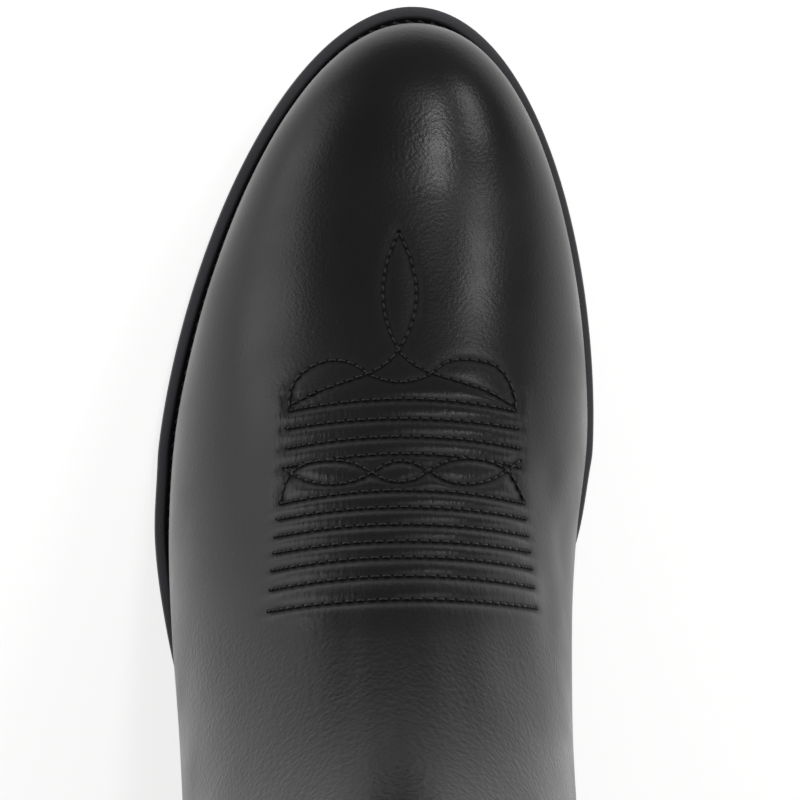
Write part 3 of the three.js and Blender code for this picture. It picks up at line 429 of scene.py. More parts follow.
def calf_leather(name, dark, light, roughness, pebble=0.75, strength=0.35, worked=False):
    """Full-grain calf. Worked leather also reads the vamp's own attributes: painted shade beside its thread,
    and its sewn and creased parts.
    """
    material, tree, surface = new_material(name)
    place = add_node(tree, "ShaderNodeTexCoord").outputs["Object"]
    cloud = add_node(tree, "ShaderNodeTexNoise", {"Vector": place, "Scale": 28.0, "Detail": 4.0})
    colour = add_node(tree, "ShaderNodeMix", {0: cloud.outputs["Fac"], 6: srgb(dark), 7: srgb(light)},
                      data_type="RGBA").outputs[2]
    polish = add_node(tree, "ShaderNodeTexNoise", {"Vector": place, "Scale": 45.0, "Detail": 5.0})
    shine = add_node(tree, "ShaderNodeMapRange", {
        "Value": polish.outputs["Fac"], "From Min": 0.3, "From Max": 0.7,
        "To Min": roughness - 0.05, "To Max": roughness + 0.07}).outputs[0]
    surface.inputs["IOR"].default_value = 1.42
    height = grain_height(tree, place, pebble)
    if worked:
        near, quilted, instep = (add_node(tree, "ShaderNodeAttribute", attribute_name=key).outputs["Fac"]
                                 for key in ("thread_shade_and_dullness", "quilted", "instep"))
        # painted shade: the valleys along the thread are darkened to near black, and made dull
        colour = add_node(tree, "ShaderNodeMix", {0: near, 6: colour, 7: srgb("040404")},
                          data_type="RGBA").outputs[2]
        shine = add_node(tree, "ShaderNodeMix", {0: near, 2: shine, 3: 0.75}).outputs[0]
        # drawn-up leather wrinkles across the rows; the instep flexes, so its grain opens up
        drawn = add_node(tree, "ShaderNodeMapping", {"Vector": place, "Scale": (1, 0.2, 0.35)}).outputs[0]
        wrinkles = add_node(tree, "ShaderNodeTexNoise", {"Vector": drawn, "Scale": 1150.0, "Detail": 3.0})
        open_grain = grain_height(tree, place, pebble * 1.35)
        soft = add_node(tree, "ShaderNodeMath", {0: height, 1: 0.55}, operation="MULTIPLY").outputs[0]
        coarse = add_node(tree, "ShaderNodeMath", {0: open_grain, 1: 1.5}, operation="MULTIPLY").outputs[0]
        height = add_node(tree, "ShaderNodeMix", {0: instep, 2: soft, 3: coarse}).outputs[0]
        drawn_in = add_node(tree, "ShaderNodeMath", {0: quilted, 1: 1.6}, operation="MULTIPLY").outputs[0]
        creases = add_node(tree, "ShaderNodeMath", {0: wrinkles.outputs["Fac"], 1: drawn_in},
                           operation="MULTIPLY").outputs[0]
        height = add_node(tree, "ShaderNodeMath", {0: height, 1: creases}, operation="ADD").outputs[0]
    tree.links.new(colour, surface.inputs["Base Color"])
    tree.links.new(shine, surface.inputs["Roughness"])
    grain = add_node(tree, "ShaderNodeBump", {"Strength": strength, "Distance": 0.00025, "Height": height})
    tree.links.new(grain.outputs[0], surface.inputs["Normal"])
    return material


vamp_leather = calf_leather("black polished calf", "151415", "1d1c1c", 0.31, worked=True)
trim_leather = calf_leather("black trim calf", "0d0c0d", "151414", 0.38)
shaft_leather = calf_leather("black shaft calf", "0e0d0e", "161515", 0.4)
print("leather grain cells are 0.75 mm across")

# %% [markdown]
# ## The vamp
# The vamp is one piece of calf pulled down over the last, from the toe to the tongue. Its back edge runs
# from the sole up to the tongue's tip. We need to know where each column of the grid crosses that edge,
# so a helper walks up the rows of the form and finds the crossing.

# %% Where a cut edge crosses the form
edge_z, edge_f = np.array([
    (-40, 86), (SEAT - 6, 86), (SEAT + 16, 90), (SEAT + 34, 98), (SEAT + 50, 107), (SEAT + 68, 113),
    (SEAT + 86, 116.5), (SEAT + 99, 119.5), (SEAT + 106, 123), (SEAT + 110, 140), (SEAT + 130, 300),
]).T
COLUMNS = 721
turn_samples = np.linspace(-math.pi / 2, 3 * math.pi / 2, COLUMNS)
row_samples = np.linspace(8, 20, 481)


def crossing(inside, first):
    """For each sampled angle, the row after first where inside(points) turns negative."""
    grid_rows, grid_turns = np.meshgrid(row_samples, turn_samples)
    amount = inside(skin(grid_rows, grid_turns, cover_out))
    late = grid_rows >= np.asarray(first).reshape(-1, 1)
    out = (amount < 0) & late
    i = np.argmax(out, axis=1)
    k = np.arange(COLUMNS)
    a, b = amount[k, np.maximum(i - 1, 0)], amount[k, i]
    share = np.clip(a / np.where(a == b, 1, a - b), 0, 1)
    step = row_samples[1] - row_samples[0]
    found = row_samples[np.maximum(i - 1, 0)] + share * step
    return np.where(out[k, np.maximum(i - 1, 0)], np.asarray(first) + 0 * found, found)


def soften(values, reach=4):
    """Rounds the corners of a cut edge by averaging over a few columns."""
    kernel = np.hanning(2 * reach + 3)[1:-1]
    padded = np.concatenate([values[-reach - 1:-1], values, values[1:reach + 1]])
    return np.convolve(padded, kernel / kernel.sum(), mode="valid")


vamp_end_rows = soften(crossing(lambda p: p[..., 1] - np.interp(p[..., 2], edge_z, edge_f), 8.0))


def vamp_end(angle):
    return np.interp((angle + math.pi / 2) % (2 * math.pi) - math.pi / 2, turn_samples, vamp_end_rows)


print("the tongue ends on row", round(float(vamp_end(math.pi / 2)), 2))

# %% Lay the vamp's smooth surface
VAMP_TURN = 1.05  # how far the vamp is laid under the foot on each side, in radians past the side line
VAMP_COLUMNS = 156
# grid row and form row; the rows are closest under the stitching, and the last runs to the vamp's edge
vamp_bands = [(0, 0), (28, 4), (92, 8.3), (228, 11.7), (262, None)]


def vamp_place(u, v):
    angle = mix(-VAMP_TURN, math.pi + VAMP_TURN, u)
    counts = [c / vamp_bands[-1][0] for c, _ in vamp_bands]
    row = np.interp(v, counts[:-1], [r for _, r in vamp_bands[:-1]])
    past = np.clip((v - counts[-2]) / (1 - counts[-2]), 0, 1)
    row = np.where(v > counts[-2], mix(vamp_bands[-2][1], vamp_end(angle), past), row)
    return skin(row, angle, cover_out)


INSIDE_TOE = (-3, 200, 40)
vamp_bm = grid(VAMP_COLUMNS, vamp_bands[-1][0], vamp_place)
face_outwards(vamp_bm, INSIDE_TOE)
print("vamp columns:", VAMP_COLUMNS, "rows:", vamp_bands[-1][0])

# %% [markdown]
# ## The stitched pattern
# Western boots carry rows of stitching across the toe. They began as quilting that stopped the thin
# vamp from buckling, and became decoration. This vamp has four rows, then two threads that weave
# through each other in a chain of ovals, then seven rows, with a spear and two lobes ahead of them.
# The lines are drawn in the shoemaker's plan, s and f, and dropped straight down onto the leather.

# %% Draw the rows
def smooth_line(knots, count=160):
    """A curve through plan points, evenly spaced by length."""
    knots = np.array(knots, float)
    travel = np.concatenate([[0], np.cumsum(np.linalg.norm(np.diff(knots, axis=0), axis=1))])
    at = np.linspace(0, travel[-1], count)
    return np.stack([curve(list(zip(travel, knots[:, k])))(at) for k in (0, 1)], axis=1)


# rows: f in the middle, f at the ends, outer and inner end
quilt_rows = [
    (204.5, 202.0, 20.6, -28.8), (200.2, 198.1, 21.2, -29.2), (196.3, 193.8, 21.0, -29.4),
    (192.6, 189.6, 21.6, -29.5), (184.9, 181.9, 22.4, -30.1), (181.4, 178.6, 23.0, -30.4),
    (177.9, 175.0, 23.4, -30.7), (174.5, 171.6, 23.6, -31.0), (171.3, 168.1, 23.9, -31.2),
    (167.6, 164.2, 24.2, -31.5), (163.1, 159.9, 24.6, -31.9),
]
pattern = []
for middle_f, end_f, outer, inner in quilt_rows:
    across = np.linspace(-1, 1, 120)
    pattern.append(np.stack([mix(outer, inner, (across + 1) / 2),
                             middle_f - (middle_f - end_f) * across ** 2], axis=1))
longest_row = max(outer - inner for *_, outer, inner in quilt_rows)
print("rows:", len(quilt_rows), "and the longest is", round(longest_row, 1), "mm")

# %% Draw the chain, the spear and the lobes
chain_one = [(21.6, 189.4), (20.1, 188.4), (16.5, 186.8), (11.8, 186.1), (7, 186.7), (2.9, 188.6),
             (0.2, 190.3), (-3, 191.1), (-6.2, 190.5), (-9, 189), (-12.5, 187), (-17, 186.1),
             (-22.3, 186.9), (-26.4, 189), (-29.5, 191.2)]
chain_two = [(22.4, 182.2), (21.4, 185.9), (20.1, 188.4), (16.6, 190.6), (11.7, 191.2), (7, 190.7),
             (2.9, 188.6), (0.2, 187.1), (-3, 186.6), (-6.2, 187.2), (-9, 189), (-12.6, 190.8),
             (-17.3, 191.6), (-22.5, 190.9), (-26.4, 189), (-28.4, 186), (-30.1, 182.4)]
spear = [(-3.7, 242.3), (-1.2, 236), (0, 229), (-0.8, 221.7), (-3.3, 215.4), (-5.7, 212.7), (-9.8, 210.4),
         (-16.6, 208.3), (-23.3, 206), (-28.2, 203.3)]
spear_back = [(-3.7, 242.3), (-6.2, 236), (-7.4, 229), (-6.4, 221.7), (-3.3, 215.4), (-0.9, 212.7),
              (2.7, 210.4), (8.6, 208.3), (15, 206), (20.4, 203.3)]
lobe = [(20.6, 202.6), (20.4, 206.3), (18.3, 210), (12.8, 213), (7.3, 212.6), (2.6, 209.6),
        (-0.3, 208.6), (-3.4, 208.1), (-6.6, 208.6), (-9.8, 209.8), (-14, 212.8), (-19.4, 213.2),
        (-24.7, 212), (-27.5, 208.9), (-29, 204.5), (-28.8, 202.4)]
pattern += [smooth_line(line, 260) for line in (chain_one, chain_two, spear, spear_back, lobe)]
print("pattern has", len(pattern), "lines of thread")

# %% [markdown]
# ## Puckers
# Thread pulls tight, so the leather sinks along every row and stands up between two rows. We could draw
# that as bump, but the highlights on a quilted toe come from real ridges. So each point of the vamp is
# moved inwards by how close it is to a line of thread, and by the soft hollows that wear leaves. The
# same loop writes three attributes that the leather's material reads.

# %% Drop the pattern onto the leather
def drop(tree, line, above=160):
    """Plan points dropped onto a surface, as points and normals in metres."""
    spots, normals = [], []
    for s, f in line:
        hit, normal, _, _ = tree.ray_cast(Vector(to_frame(s, f, above)), Vector((0, 0, -1)))
        if hit is not None:
            spots.append(hit)
            normals.append(normal)
    return np.array(spots), np.array(normals)


smooth_tree = BVHTree.FromBMesh(vamp_bm)
sewn_points = np.concatenate([drop(smooth_tree, line)[0] for line in pattern])
sewn = kdtree.KDTree(len(sewn_points))
for i, spot in enumerate(sewn_points):
    sewn.insert(spot, i)
sewn.balance()
print("points of thread on the vamp:", len(sewn_points))

# %% Pucker the leather
PUCKER = 0.5  # how deep each row pulls the leather in
PUCKER_WIDTH = 1.25  # how far that reaches from the thread
THREAD_REACH = 0.8  # how far the painted shade and dullness beside the thread reach
FIRST_ROW_F = 206  # ahead of the rows the leather is sewn less tightly
thread_shade_layer = vamp_bm.verts.layers.float.new("thread_shade_and_dullness")
quilt_layer = vamp_bm.verts.layers.float.new("quilted")
instep_layer = vamp_bm.verts.layers.float.new("instep")
# soft hollows where the leather gives: s, f, half width, half length, depth
hollows = [
    (-38, 178, 9, 13, 0.9), (-44, 160, 6, 14, 0.6), (8, 151, 3.2, 14, 0.28), (1.5, 149, 2.2, 17, 0.3),
    (-4, 152, 2.6, 11, 0.22), (-14, 147, 3.5, 13, 0.25), (30, 168, 9, 16, 0.35), (-24, 152, 5, 7, 0.3),
    (-41, 171, 2.4, 8, 0.5), (-35.5, 161, 2.6, 8, 0.45), (-31, 172, 2.2, 6, 0.25), (-37, 187, 3, 6, 0.4),
]
vamp_bm.normal_update()
for vert in vamp_bm.verts:
    s, f = vert.co.x / MM, Y_OF_HEEL - vert.co.y / MM
    upward = float(smoothstep(-0.1, 0.3, vert.normal.z))
    depth = 0.0
    if upward > 0:
        distance = sewn.find(vert.co)[2] / MM
        near = math.exp(-(distance / PUCKER_WIDTH) ** 2) * upward
        depth += PUCKER * near * (0.4 if f > FIRST_ROW_F else 1)
        inside = upward * float(smoothstep(-34, -29, s) * smoothstep(27, 22, s)
                                * smoothstep(156, 162, f) * smoothstep(209, 203, f))
        # painted shade beside the thread, which the leather's material darkens to near black
        vert[thread_shade_layer] = math.exp(-(distance / THREAD_REACH) ** 2) * upward
        vert[quilt_layer] = inside
        depth -= 0.2 * inside
        for hs, hf, wide, long, deep in hollows:
            depth += deep * upward * math.exp(-((s - hs) / wide) ** 2 - ((f - hf) / long) ** 2)
    vert[instep_layer] = float(smoothstep(164, 150, f))
    vert.co -= vert.normal * depth * MM
vamp_bm.normal_update()
vamp_tree = BVHTree.FromBMesh(vamp_bm)
vamp = leather(vamp_bm, "vamp_leather", vamp_leather, COVER - 0.2)
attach(vamp, "foot")
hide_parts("vamp")
print("rows pull the leather in by", PUCKER, "mm")


# %% [markdown]
# ## Sewing
# A stitch is a short length of thread that comes up through one hole and goes down the next. We make
# one as a bent six-sided rod and lay copies along a line, each turned to the surface under it, with a
# small near-black disc at each hole as painted shade, since the hole is not cut. The last few stitches of a
# row are half as long, where the machine sewed back over itself so that the row would not come undone.

# %% Thread and needle holes
def thread_material(name, code, roughness):
    """Noise 0.4 mm across mixes near black with the given colour: painted shade between the plies and painted
    highlight on top. Wax gives the thread its low shine.
    """
    material, tree, surface = new_material(name)
    place = add_node(tree, "ShaderNodeTexCoord").outputs["Object"]
    ply_shade_and_highlight = add_node(tree, "ShaderNodeTexNoise", {"Vector": place, "Scale": 2500.0, "Detail": 1.0})
    # painted shade between the plies and painted highlight on their tops
    tone = add_node(tree, "ShaderNodeMix", {0: ply_shade_and_highlight.outputs["Fac"], 6: srgb("060606"), 7: srgb(code)},
                    data_type="RGBA").outputs[2]
    tree.links.new(tone, surface.inputs["Base Color"])
    surface.inputs["Roughness"].default_value = roughness
    return material


black_thread = thread_material("black waxed polyester thread", "2b2a2b", 0.45)
# near-black discs at the needle holes: painted shade, since the holes are not cut
hole_shadow = thread_material("painted needle hole shade", "040404", 1.0)
print("thread materials:", black_thread.name, "and", hole_shadow.name)

# %% One stitch and one hole
ROD_SIDES = 6
PIT_SIDES = 7
rod_stops = [(-0.5, -0.35), (-0.34, 0.1), (0, 0.2), (0.34, 0.1), (0.5, -0.35)]  # share of length, rise in mm


def add_rod(bm, middle, along, up, length, radius):
    side = along.cross(up).normalized()
    rings = []
    for share, rise in rod_stops:
        centre = middle + along * length * share + up * rise * MM
        rings.append([bm.verts.new(centre + (side * math.cos(a) + up * math.sin(a)) * radius)
                      for a in np.linspace(0, 2 * math.pi, ROD_SIDES, endpoint=False)])
    for low, high in zip(rings, rings[1:]):
        for i in range(ROD_SIDES):
            bm.faces.new((low[i - 1], low[i], high[i], high[i - 1]))


# a flat near-black disc lying just above the leather: painted shade that stands for a needle hole
def add_hole_shade_disc(bm, middle, up, radius):
    side = up.orthogonal().normalized()
    other = up.cross(side)
    ring = [bm.verts.new(middle + (side * math.cos(a) + other * math.sin(a)) * radius)
            for a in np.linspace(0, 2 * math.pi, PIT_SIDES, endpoint=False)]
    bm.faces.new(ring)


print("a stitch has", ROD_SIDES * (len(rod_stops) - 1), "faces")


# %% Sew a line
def sew(name, lines, pitch, radius, dense_ends=0, pit=0.42, slant=0.0):
    """Stitches along lines, each given as points and normals in metres. Returns the thread and its near-black
    hole discs, which are painted shade for the needle holes.
    """
    threads, hole_shade_discs = bmesh.new(), bmesh.new()
    for spots, normals in lines:
        travel = np.concatenate([[0], np.cumsum(np.linalg.norm(np.diff(spots, axis=0), axis=1))]) / MM
        head = [pitch / 2] * dense_ends
        plain = travel[-1] - 2 * sum(head)
        count = max(1, round(plain / pitch))
        steps = head + [plain / count] * count + head
        stops = np.concatenate([[0], np.cumsum(steps)])
        at = [Vector([np.interp(d, travel, spots[:, k]) for k in range(3)]) for d in stops]
        ups = [Vector([np.interp(d, travel, normals[:, k]) for k in range(3)]).normalized() for d in stops]
        for i in range(len(steps)):
            along = (at[i + 1] - at[i]).normalized()
            up = (ups[i] + ups[i + 1]).normalized()
            if slant:
                along = (along + along.cross(up) * slant).normalized()
            add_rod(threads, (at[i] + at[i + 1]) / 2, along, up, steps[i] * 0.86 * MM, radius * MM)
        if pit:
            for spot, up in zip(at, ups):
                add_hole_shade_disc(hole_shade_discs, spot + up * 0.05 * MM, up, pit * MM)
    bmesh.ops.recalc_face_normals(threads, faces=threads.faces)
    sewn_thread = finish_mesh(threads, name, black_thread)
    if not pit:
        hole_shade_discs.free()
        return [sewn_thread]
    return [sewn_thread, finish_mesh(hole_shade_discs, name + "_painted_hole_shade", hole_shadow, smooth=False)]


ROW_PITCH = 2.35
vamp_lines = [drop(vamp_tree, line) for line in pattern]
row_count = len(quilt_rows)
pieces = sew("vamp_row_stitches", vamp_lines[:row_count], ROW_PITCH, 0.26, dense_ends=4, pit=0.5)
pieces += sew("vamp_pattern_stitches", vamp_lines[row_count:], 2.2, 0.26, pit=0.5)
for piece in pieces:
    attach(piece, "foot")
print("stitches in the rows are", ROW_PITCH, "mm long")

# %% [markdown]
# ## The counter cover
# The counter cover wraps the heel behind the vamp and rises to a low peak at the back. Its columns start
# at the vamp's edge on the sides, and at the feather edge, where the upper meets the rand, round the heel.

# %% Lay the counter cover
counter_f, counter_z = np.array([(-20, 60), (8, 57), (26, 46), (48, 37), (70, 30), (85.4, 24), (400, 24)]).T
SEAM_ROWS = 0.02  # how far the counter starts from the vamp's edge, in rows of the form
counter_end_rows = soften(crossing(
    lambda p: SEAT + np.interp(p[..., 1], counter_f, counter_z) - p[..., 2], vamp_end_rows + SEAM_ROWS))


def counter_end(angle):
    return np.interp((angle + math.pi / 2) % (2 * math.pi) - math.pi / 2, turn_samples, counter_end_rows)


BACK_TURN = 3 * math.pi / 2
FEATHER_ROW = 15.7  # the row of the form where the upper turns in under the heel
NEAR_BACK = (0.62, 0.35)  # within these turns of the back, pieces start at the feather edge instead


def counter_start(angle):
    from_back = np.abs(angle - BACK_TURN)
    return mix(vamp_end(angle) + SEAM_ROWS, FEATHER_ROW, smoothstep(*NEAR_BACK, from_back))


lower_turns = np.linspace(math.pi, 2 * math.pi, 721)
tall = lower_turns[(counter_end(lower_turns) - vamp_end(lower_turns)) > 0.05]


def counter_place(u, v):
    angle = mix(tall[0], tall[-1], u)
    row = mix(counter_start(angle), np.maximum(counter_end(angle), counter_start(angle) + 0.02), v)
    return skin(row, angle, cover_out)


INSIDE_HEEL = (0, 50, 80)
counter_bm = grid(140, 60, counter_place)
face_outwards(counter_bm, INSIDE_HEEL)
counter = leather(counter_bm, "counter_leather", trim_leather, COVER)
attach(counter, "foot")
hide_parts("counter_cover")
print("counter columns span", round(math.degrees(tall[-1] - tall[0])), "degrees")

# %% [markdown]
# ## The shaft
# Two panels, front and back, meet at the side seams. Their lower edges run a little way under the vamp
# and the counter, and their top edge follows the scallop. The shaft is the only part of the boot that
# bends at the ankle, but here these pieces are only baked in place, with no blend between the foot and the
# shaft.

# %% Lay the shaft panels
LAP = 14  # how far the panels run on under the vamp


def bends(piece):
    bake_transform(piece)


panel_start_rows = soften(crossing(
    lambda p: p[..., 1] - np.interp(p[..., 2], edge_z, edge_f) - LAP, 8.0))


def panel_start(angle):
    """The panels begin under the vamp, and round the heel at the feather edge, under the counter."""
    turn = (angle + math.pi / 2) % (2 * math.pi) - math.pi / 2
    under_vamp = np.interp(turn, turn_samples, panel_start_rows)
    from_back = np.minimum(np.abs(turn - BACK_TURN), np.abs(turn + math.pi / 2))
    return mix(under_vamp, FEATHER_ROW, smoothstep(*NEAR_BACK, from_back))


def panel_place(first_turn, depth, start):
    def place(u, v):
        angle = first_turn + math.pi * u
        return skin(mix(start(angle), TOP_ROW, v), angle, depth)
    return place


INSIDE_SHAFT = (0, 65, 220)
for name, first_turn in (("front", 0), ("back", math.pi)):
    bm = grid(120, 190, panel_place(first_turn, panel_out, panel_start))
    face_outwards(bm, INSIDE_SHAFT)
    panel = leather(bm, f"{name}_shaft_leather", shaft_leather, PANEL, 0.25)
    bends(panel)
    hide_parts(f"{name}_shaft_panel")

# %% Lay the linings
lining_leather = calf_leather("natural lining leather", "8e6a45", "b08a5f", 0.62, 0.6, 0.25)
LINING_ROW = 0.15  # the shaft's lining starts this many rows above the vamp's lining
for name, first_turn in (("front", 0), ("back", math.pi)):
    bm = grid(60, 60, panel_place(first_turn, 0, lambda a: vamp_end(a) + LINING_ROW))
    face_outwards(bm, INSIDE_SHAFT)
    bmesh.ops.reverse_faces(bm, faces=bm.faces)
    lining = leather(bm, f"{name}_shaft_lining_leather", lining_leather, LINING, 0)
    bends(lining)
    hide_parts(f"{name}_shaft_lining")


def foot_lining_place(u, v):
    angle = mix(-1.2, math.pi + 1.2, u)
    return skin(mix(0, vamp_end(angle) + LINING_ROW - 0.03, v), angle, 0)


bm = grid(70, 90, foot_lining_place)
face_outwards(bm, INSIDE_TOE)
bmesh.ops.reverse_faces(bm, faces=bm.faces)
foot_lining = leather(bm, "vamp_lining_leather", lining_leather, LINING, 0)
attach(foot_lining, "foot")
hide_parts("vamp_lining")
print("lining is", LINING, "mm thick, with its grain side to the foot")

# %% [markdown]
# ## Top binding
# A folded strip binds the raw top edges of the panel and its lining. It could be swept along the top
# line, but it follows a scallop on a wall that leans, so it is a grid as well: one way round the boot,
# and the other way up the outside, over the edge and down the inside.

# %% Bind the top line
BINDING = 1.1
BINDING_DEPTH = 7
BINDING_GAP = 0.45
STRAP_GAP = 0.6
WALL = LINING + GAP + PANEL


def top_span(angle):
    return top_height(angle) - form(LAST_RING, angle)[..., 2]


def on_wall(angle, down, reach):
    """A point at a depth below the top line, and a reach outwards from the form."""
    row = TOP_ROW - np.maximum(down, 0) / top_span(angle)
    p = skin(row, angle, 0) + form_normal(row, angle) * np.asarray(reach)[..., None]
    p[..., 2] += np.maximum(-np.asarray(down), 0)
    return p


def binding_place(u, v):
    angle = 2 * math.pi * u
    reach_out, reach_in = WALL + BINDING_GAP + BINDING, -BINDING_GAP - BINDING
    middle, half = (reach_out + reach_in) / 2, (reach_out - reach_in) / 2
    fold = np.clip((v - 0.4) / 0.2, 0, 1) * math.pi
    down = BINDING_DEPTH * np.clip(np.abs(v - 0.5) / 0.4 - 0.25, 0, 1)
    p = on_wall(angle, down, middle + half * np.cos(fold))
    p[..., 2] += (BINDING_GAP + BINDING) * np.sin(fold)
    return p


bm = grid(260, 30, binding_place, wrap=True)
face_outwards(bm, (0, 65, 334))
bmesh.ops.recalc_face_normals(bm, faces=bm.faces)
binding = leather(bm, "top_binding_leather", trim_leather, BINDING - 0.1, 0.3)
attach(binding, "shaft")
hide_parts("top_binding")
print("binding is", BINDING_DEPTH, "mm deep on each face")

# %% [markdown]
# ## Side beads
# A round bead of leather covers each side seam, from the vamp's edge up to the pull strap. A bead is a
# line with a thickness, so a curve with a round bevel makes it, and it is turned to a mesh at once.


# %% Bead on the side seams
PIPING_RADIUS = 1.5
PIPING_SUNK = 0.25  # the share of its radius that the bead sinks into the seam
STRAP_TAIL = 52  # how far each end of a pull strap is sewn down the wall


def tube(name, points, radius, material):
    """A round bead along points, as a mesh."""
    line = bpy.data.curves.new(name, "CURVE")
    line.dimensions = "3D"
    line.bevel_depth = radius
    line.bevel_resolution = 3
    line.use_fill_caps = True
    spline = line.splines.new("POLY")
    spline.points.add(len(points) - 1)
    for spot, p in zip(spline.points, points):
        spot.co = (*p, 1)
    source = bpy.data.objects.new(name, line)
    bpy.context.scene.collection.objects.link(source)
    bpy.context.view_layer.update()
    bm = bmesh.new()
    bm.from_mesh(source.to_mesh())
    bpy.data.objects.remove(source)
    return finish_mesh(bm, name, material)


for name, angle in (("lateral", 0.0), ("medial", math.pi)):
    low = float(vamp_end(angle)) + 0.02
    high = TOP_ROW - (STRAP_TAIL + 1) / float(top_span(np.array(angle)))
    path_rows = np.linspace(low, high, 120)
    middle = skin(path_rows, np.full(120, angle), lambda p: panel_out(p) + PIPING_RADIUS * (1 - PIPING_SUNK))
    bead = tube(f"side_bead_{name}", to_frame(*middle.T), PIPING_RADIUS * MM, trim_leather)
    bends(bead)
    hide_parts(f"side_piping_{name}")
print("beads are", 2 * PIPING_RADIUS, "mm thick")

# %% [markdown]
# ## Pull straps
# Each pull strap is one strip of leather, sewn to the outside and the inside of the wall, with a loop
# above the top line for a finger. Its middle line is drawn once, as seen from the edge: up the outside,
# over, and down the inside. A grid follows that line, and it is baked in place.

# %% Pull straps
STRAP_WIDTH = 32
STRAP = 2.2
STRAP_RISE = 24  # height of the loop above the top line
STRAP_BULGE = 3.6  # how far each side of the loop bows out, for a finger
STRAP_IN = -(BINDING_GAP + BINDING + STRAP_GAP + STRAP / 2)
STRAP_OUT = WALL - STRAP_IN
over = np.linspace(0, math.pi, 21)[1:-1]
loop_middle, loop_half = (STRAP_OUT + STRAP_IN) / 2, (STRAP_OUT - STRAP_IN) / 2
loop_start = BINDING_GAP + BINDING
strap_line = np.array(
    [(STRAP_OUT, -d) for d in np.linspace(STRAP_TAIL, 0, 14)]
    + [(loop_middle + loop_half * math.cos(a) + STRAP_BULGE * math.sin(2 * a),
        loop_start + (STRAP_RISE - loop_start - STRAP / 2) * math.sin(a)) for a in over]
    + [(STRAP_IN, -d) for d in np.linspace(0, STRAP_TAIL, 14)])
strap_length = np.concatenate([[0], np.cumsum(np.linalg.norm(np.diff(strap_line, axis=0), axis=1))])
strap_knots = strap_length / strap_length[-1]


def strap_place(middle_angle):
    wall_half = np.linalg.norm(form(TOP_ROW, math.pi / 2) - form(TOP_ROW, -math.pi / 2)) / 2
    spread = STRAP_WIDTH / 2 / wall_half

    def place(u, v):
        angle = middle_angle + mix(-spread, spread, u)
        reach, height = (np.interp(v, strap_knots, strap_line[:, k]) for k in (0, 1))
        row = np.minimum(TOP_ROW, TOP_ROW - np.maximum(-height, 0) / top_span(angle))
        out = form_normal(row, angle) * (1, 1, 0)
        out /= np.linalg.norm(out, axis=-1, keepdims=True)
        p = skin(row, angle, 0) + out * reach[..., None]
        p[..., 2] = float(top_height(np.array(middle_angle))) + height
        return p
    return place


for name, angle in (("lateral", 0.0), ("medial", math.pi)):
    bm = grid(14, 110, strap_place(angle))
    face_outwards(bm, (0, 60, 300))
    strap = leather(bm, f"pull_strap_leather_{name}", shaft_leather, STRAP, 0.5)
    strap.modifiers["thickness"].offset = 0
    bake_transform(strap)
    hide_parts(f"pull_strap_{name}")
print("pull strap loops stand", STRAP_RISE, "mm above the top line")

# %% [markdown]
# ## Stitching on the shaft
# Rows of stitching stiffen the soft shaft so that it stands. Each panel carries three nested flames
# that mirror about its middle. The lines are drawn in the panel's own terms, an angle round the shaft
# and a height, so a helper first finds the row of the form at that height.

# %% Find a place on the shaft
def row_at(angle, z):
    """The row of the form that lies at a height on the shaft, found by halving."""
    low, high = np.full_like(angle, 15.0), np.full_like(angle, float(TOP_ROW))
    for _ in range(24):
        middle = (low + high) / 2
        under = form(middle, angle)[..., 2] < z
        low, high = np.where(under, middle, low), np.where(under, high, middle)
    return high


def on_skin(angle, z, depth):
    """Points and normals, in metres, on a layer of the shaft."""
    angle, z = np.asarray(angle, float), np.asarray(z, float)
    row = row_at(angle, z)
    normal = form_normal(row, angle) * (1, -1, 1)
    return to_frame(*skin(row, angle, depth).T), normal


print("half way up the shaft is row", round(float(row_at(np.array(0.0), SHAFT_TOP / 2)), 1))

# %% Sew the flames
FLAME_MIDDLE = 210  # height about which each flame grows
BACK_LOWER = 6  # the back flame sits lower, as its top line does
# half of a flame: turn round the shaft in radians, and height
flame = smooth_line([
    (0, 292), (0.16, 268), (0.34, 262), (0.46, 276), (0.6, 262), (0.56, 236), (0.36, 218), (0.2, 206),
    (0.3, 190), (0.52, 184), (0.62, 168), (0.46, 152), (0.22, 158), (0.1, 146), (0, 128)], 240)
shaft_lines = []
for middle_angle, lower in ((math.pi / 2, 0), (BACK_TURN, BACK_LOWER)):
    for side in (1, -1):
        for ring in range(3):
            turn = middle_angle + side * (flame[:, 0] * (1 + 0.22 * ring) + 0.055 * ring)
            high = (flame[:, 1] - FLAME_MIDDLE) * (1 + 0.07 * ring) + FLAME_MIDDLE - lower
            shaft_lines.append(on_skin(turn, high, panel_out))
for piece in sew("shaft_flame_stitches", shaft_lines, 2.8, 0.36, pit=0.55):
    bends(piece)
print("lines sewn on the shaft:", len(shaft_lines))

# %% Sew the binding and the counter cover
EDGE_PITCH = 2.6
EDGE_THREAD = 0.24
turn = np.linspace(-math.pi / 2, 3 * math.pi / 2, 900)[:-1]
binding_skin = on_wall(turn, np.full_like(turn, BINDING_DEPTH - 1.4), WALL + BINDING_GAP + BINDING)
edge_line = (to_frame(*binding_skin.T), form_normal(TOP_ROW, turn) * (1, -1, 1))
for piece in sew("binding_stitches", [edge_line], EDGE_PITCH, EDGE_THREAD):
    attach(piece, "shaft")
back_turns = np.linspace(tall[0] + 0.06, tall[-1] - 0.06, 400)
heel_lines = []
for inset in (0.12, 0.3):
    heel_rows = counter_end(back_turns) - inset
    normal = form_normal(heel_rows, back_turns) * (1, -1, 1)
    heel_lines.append((to_frame(*skin(heel_rows, back_turns, cover_out).T), normal))
for piece in sew("counter_stitches", heel_lines, 2.4, EDGE_THREAD):
    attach(piece, "foot")
print("the binding's stitches are", EDGE_PITCH, "mm long")

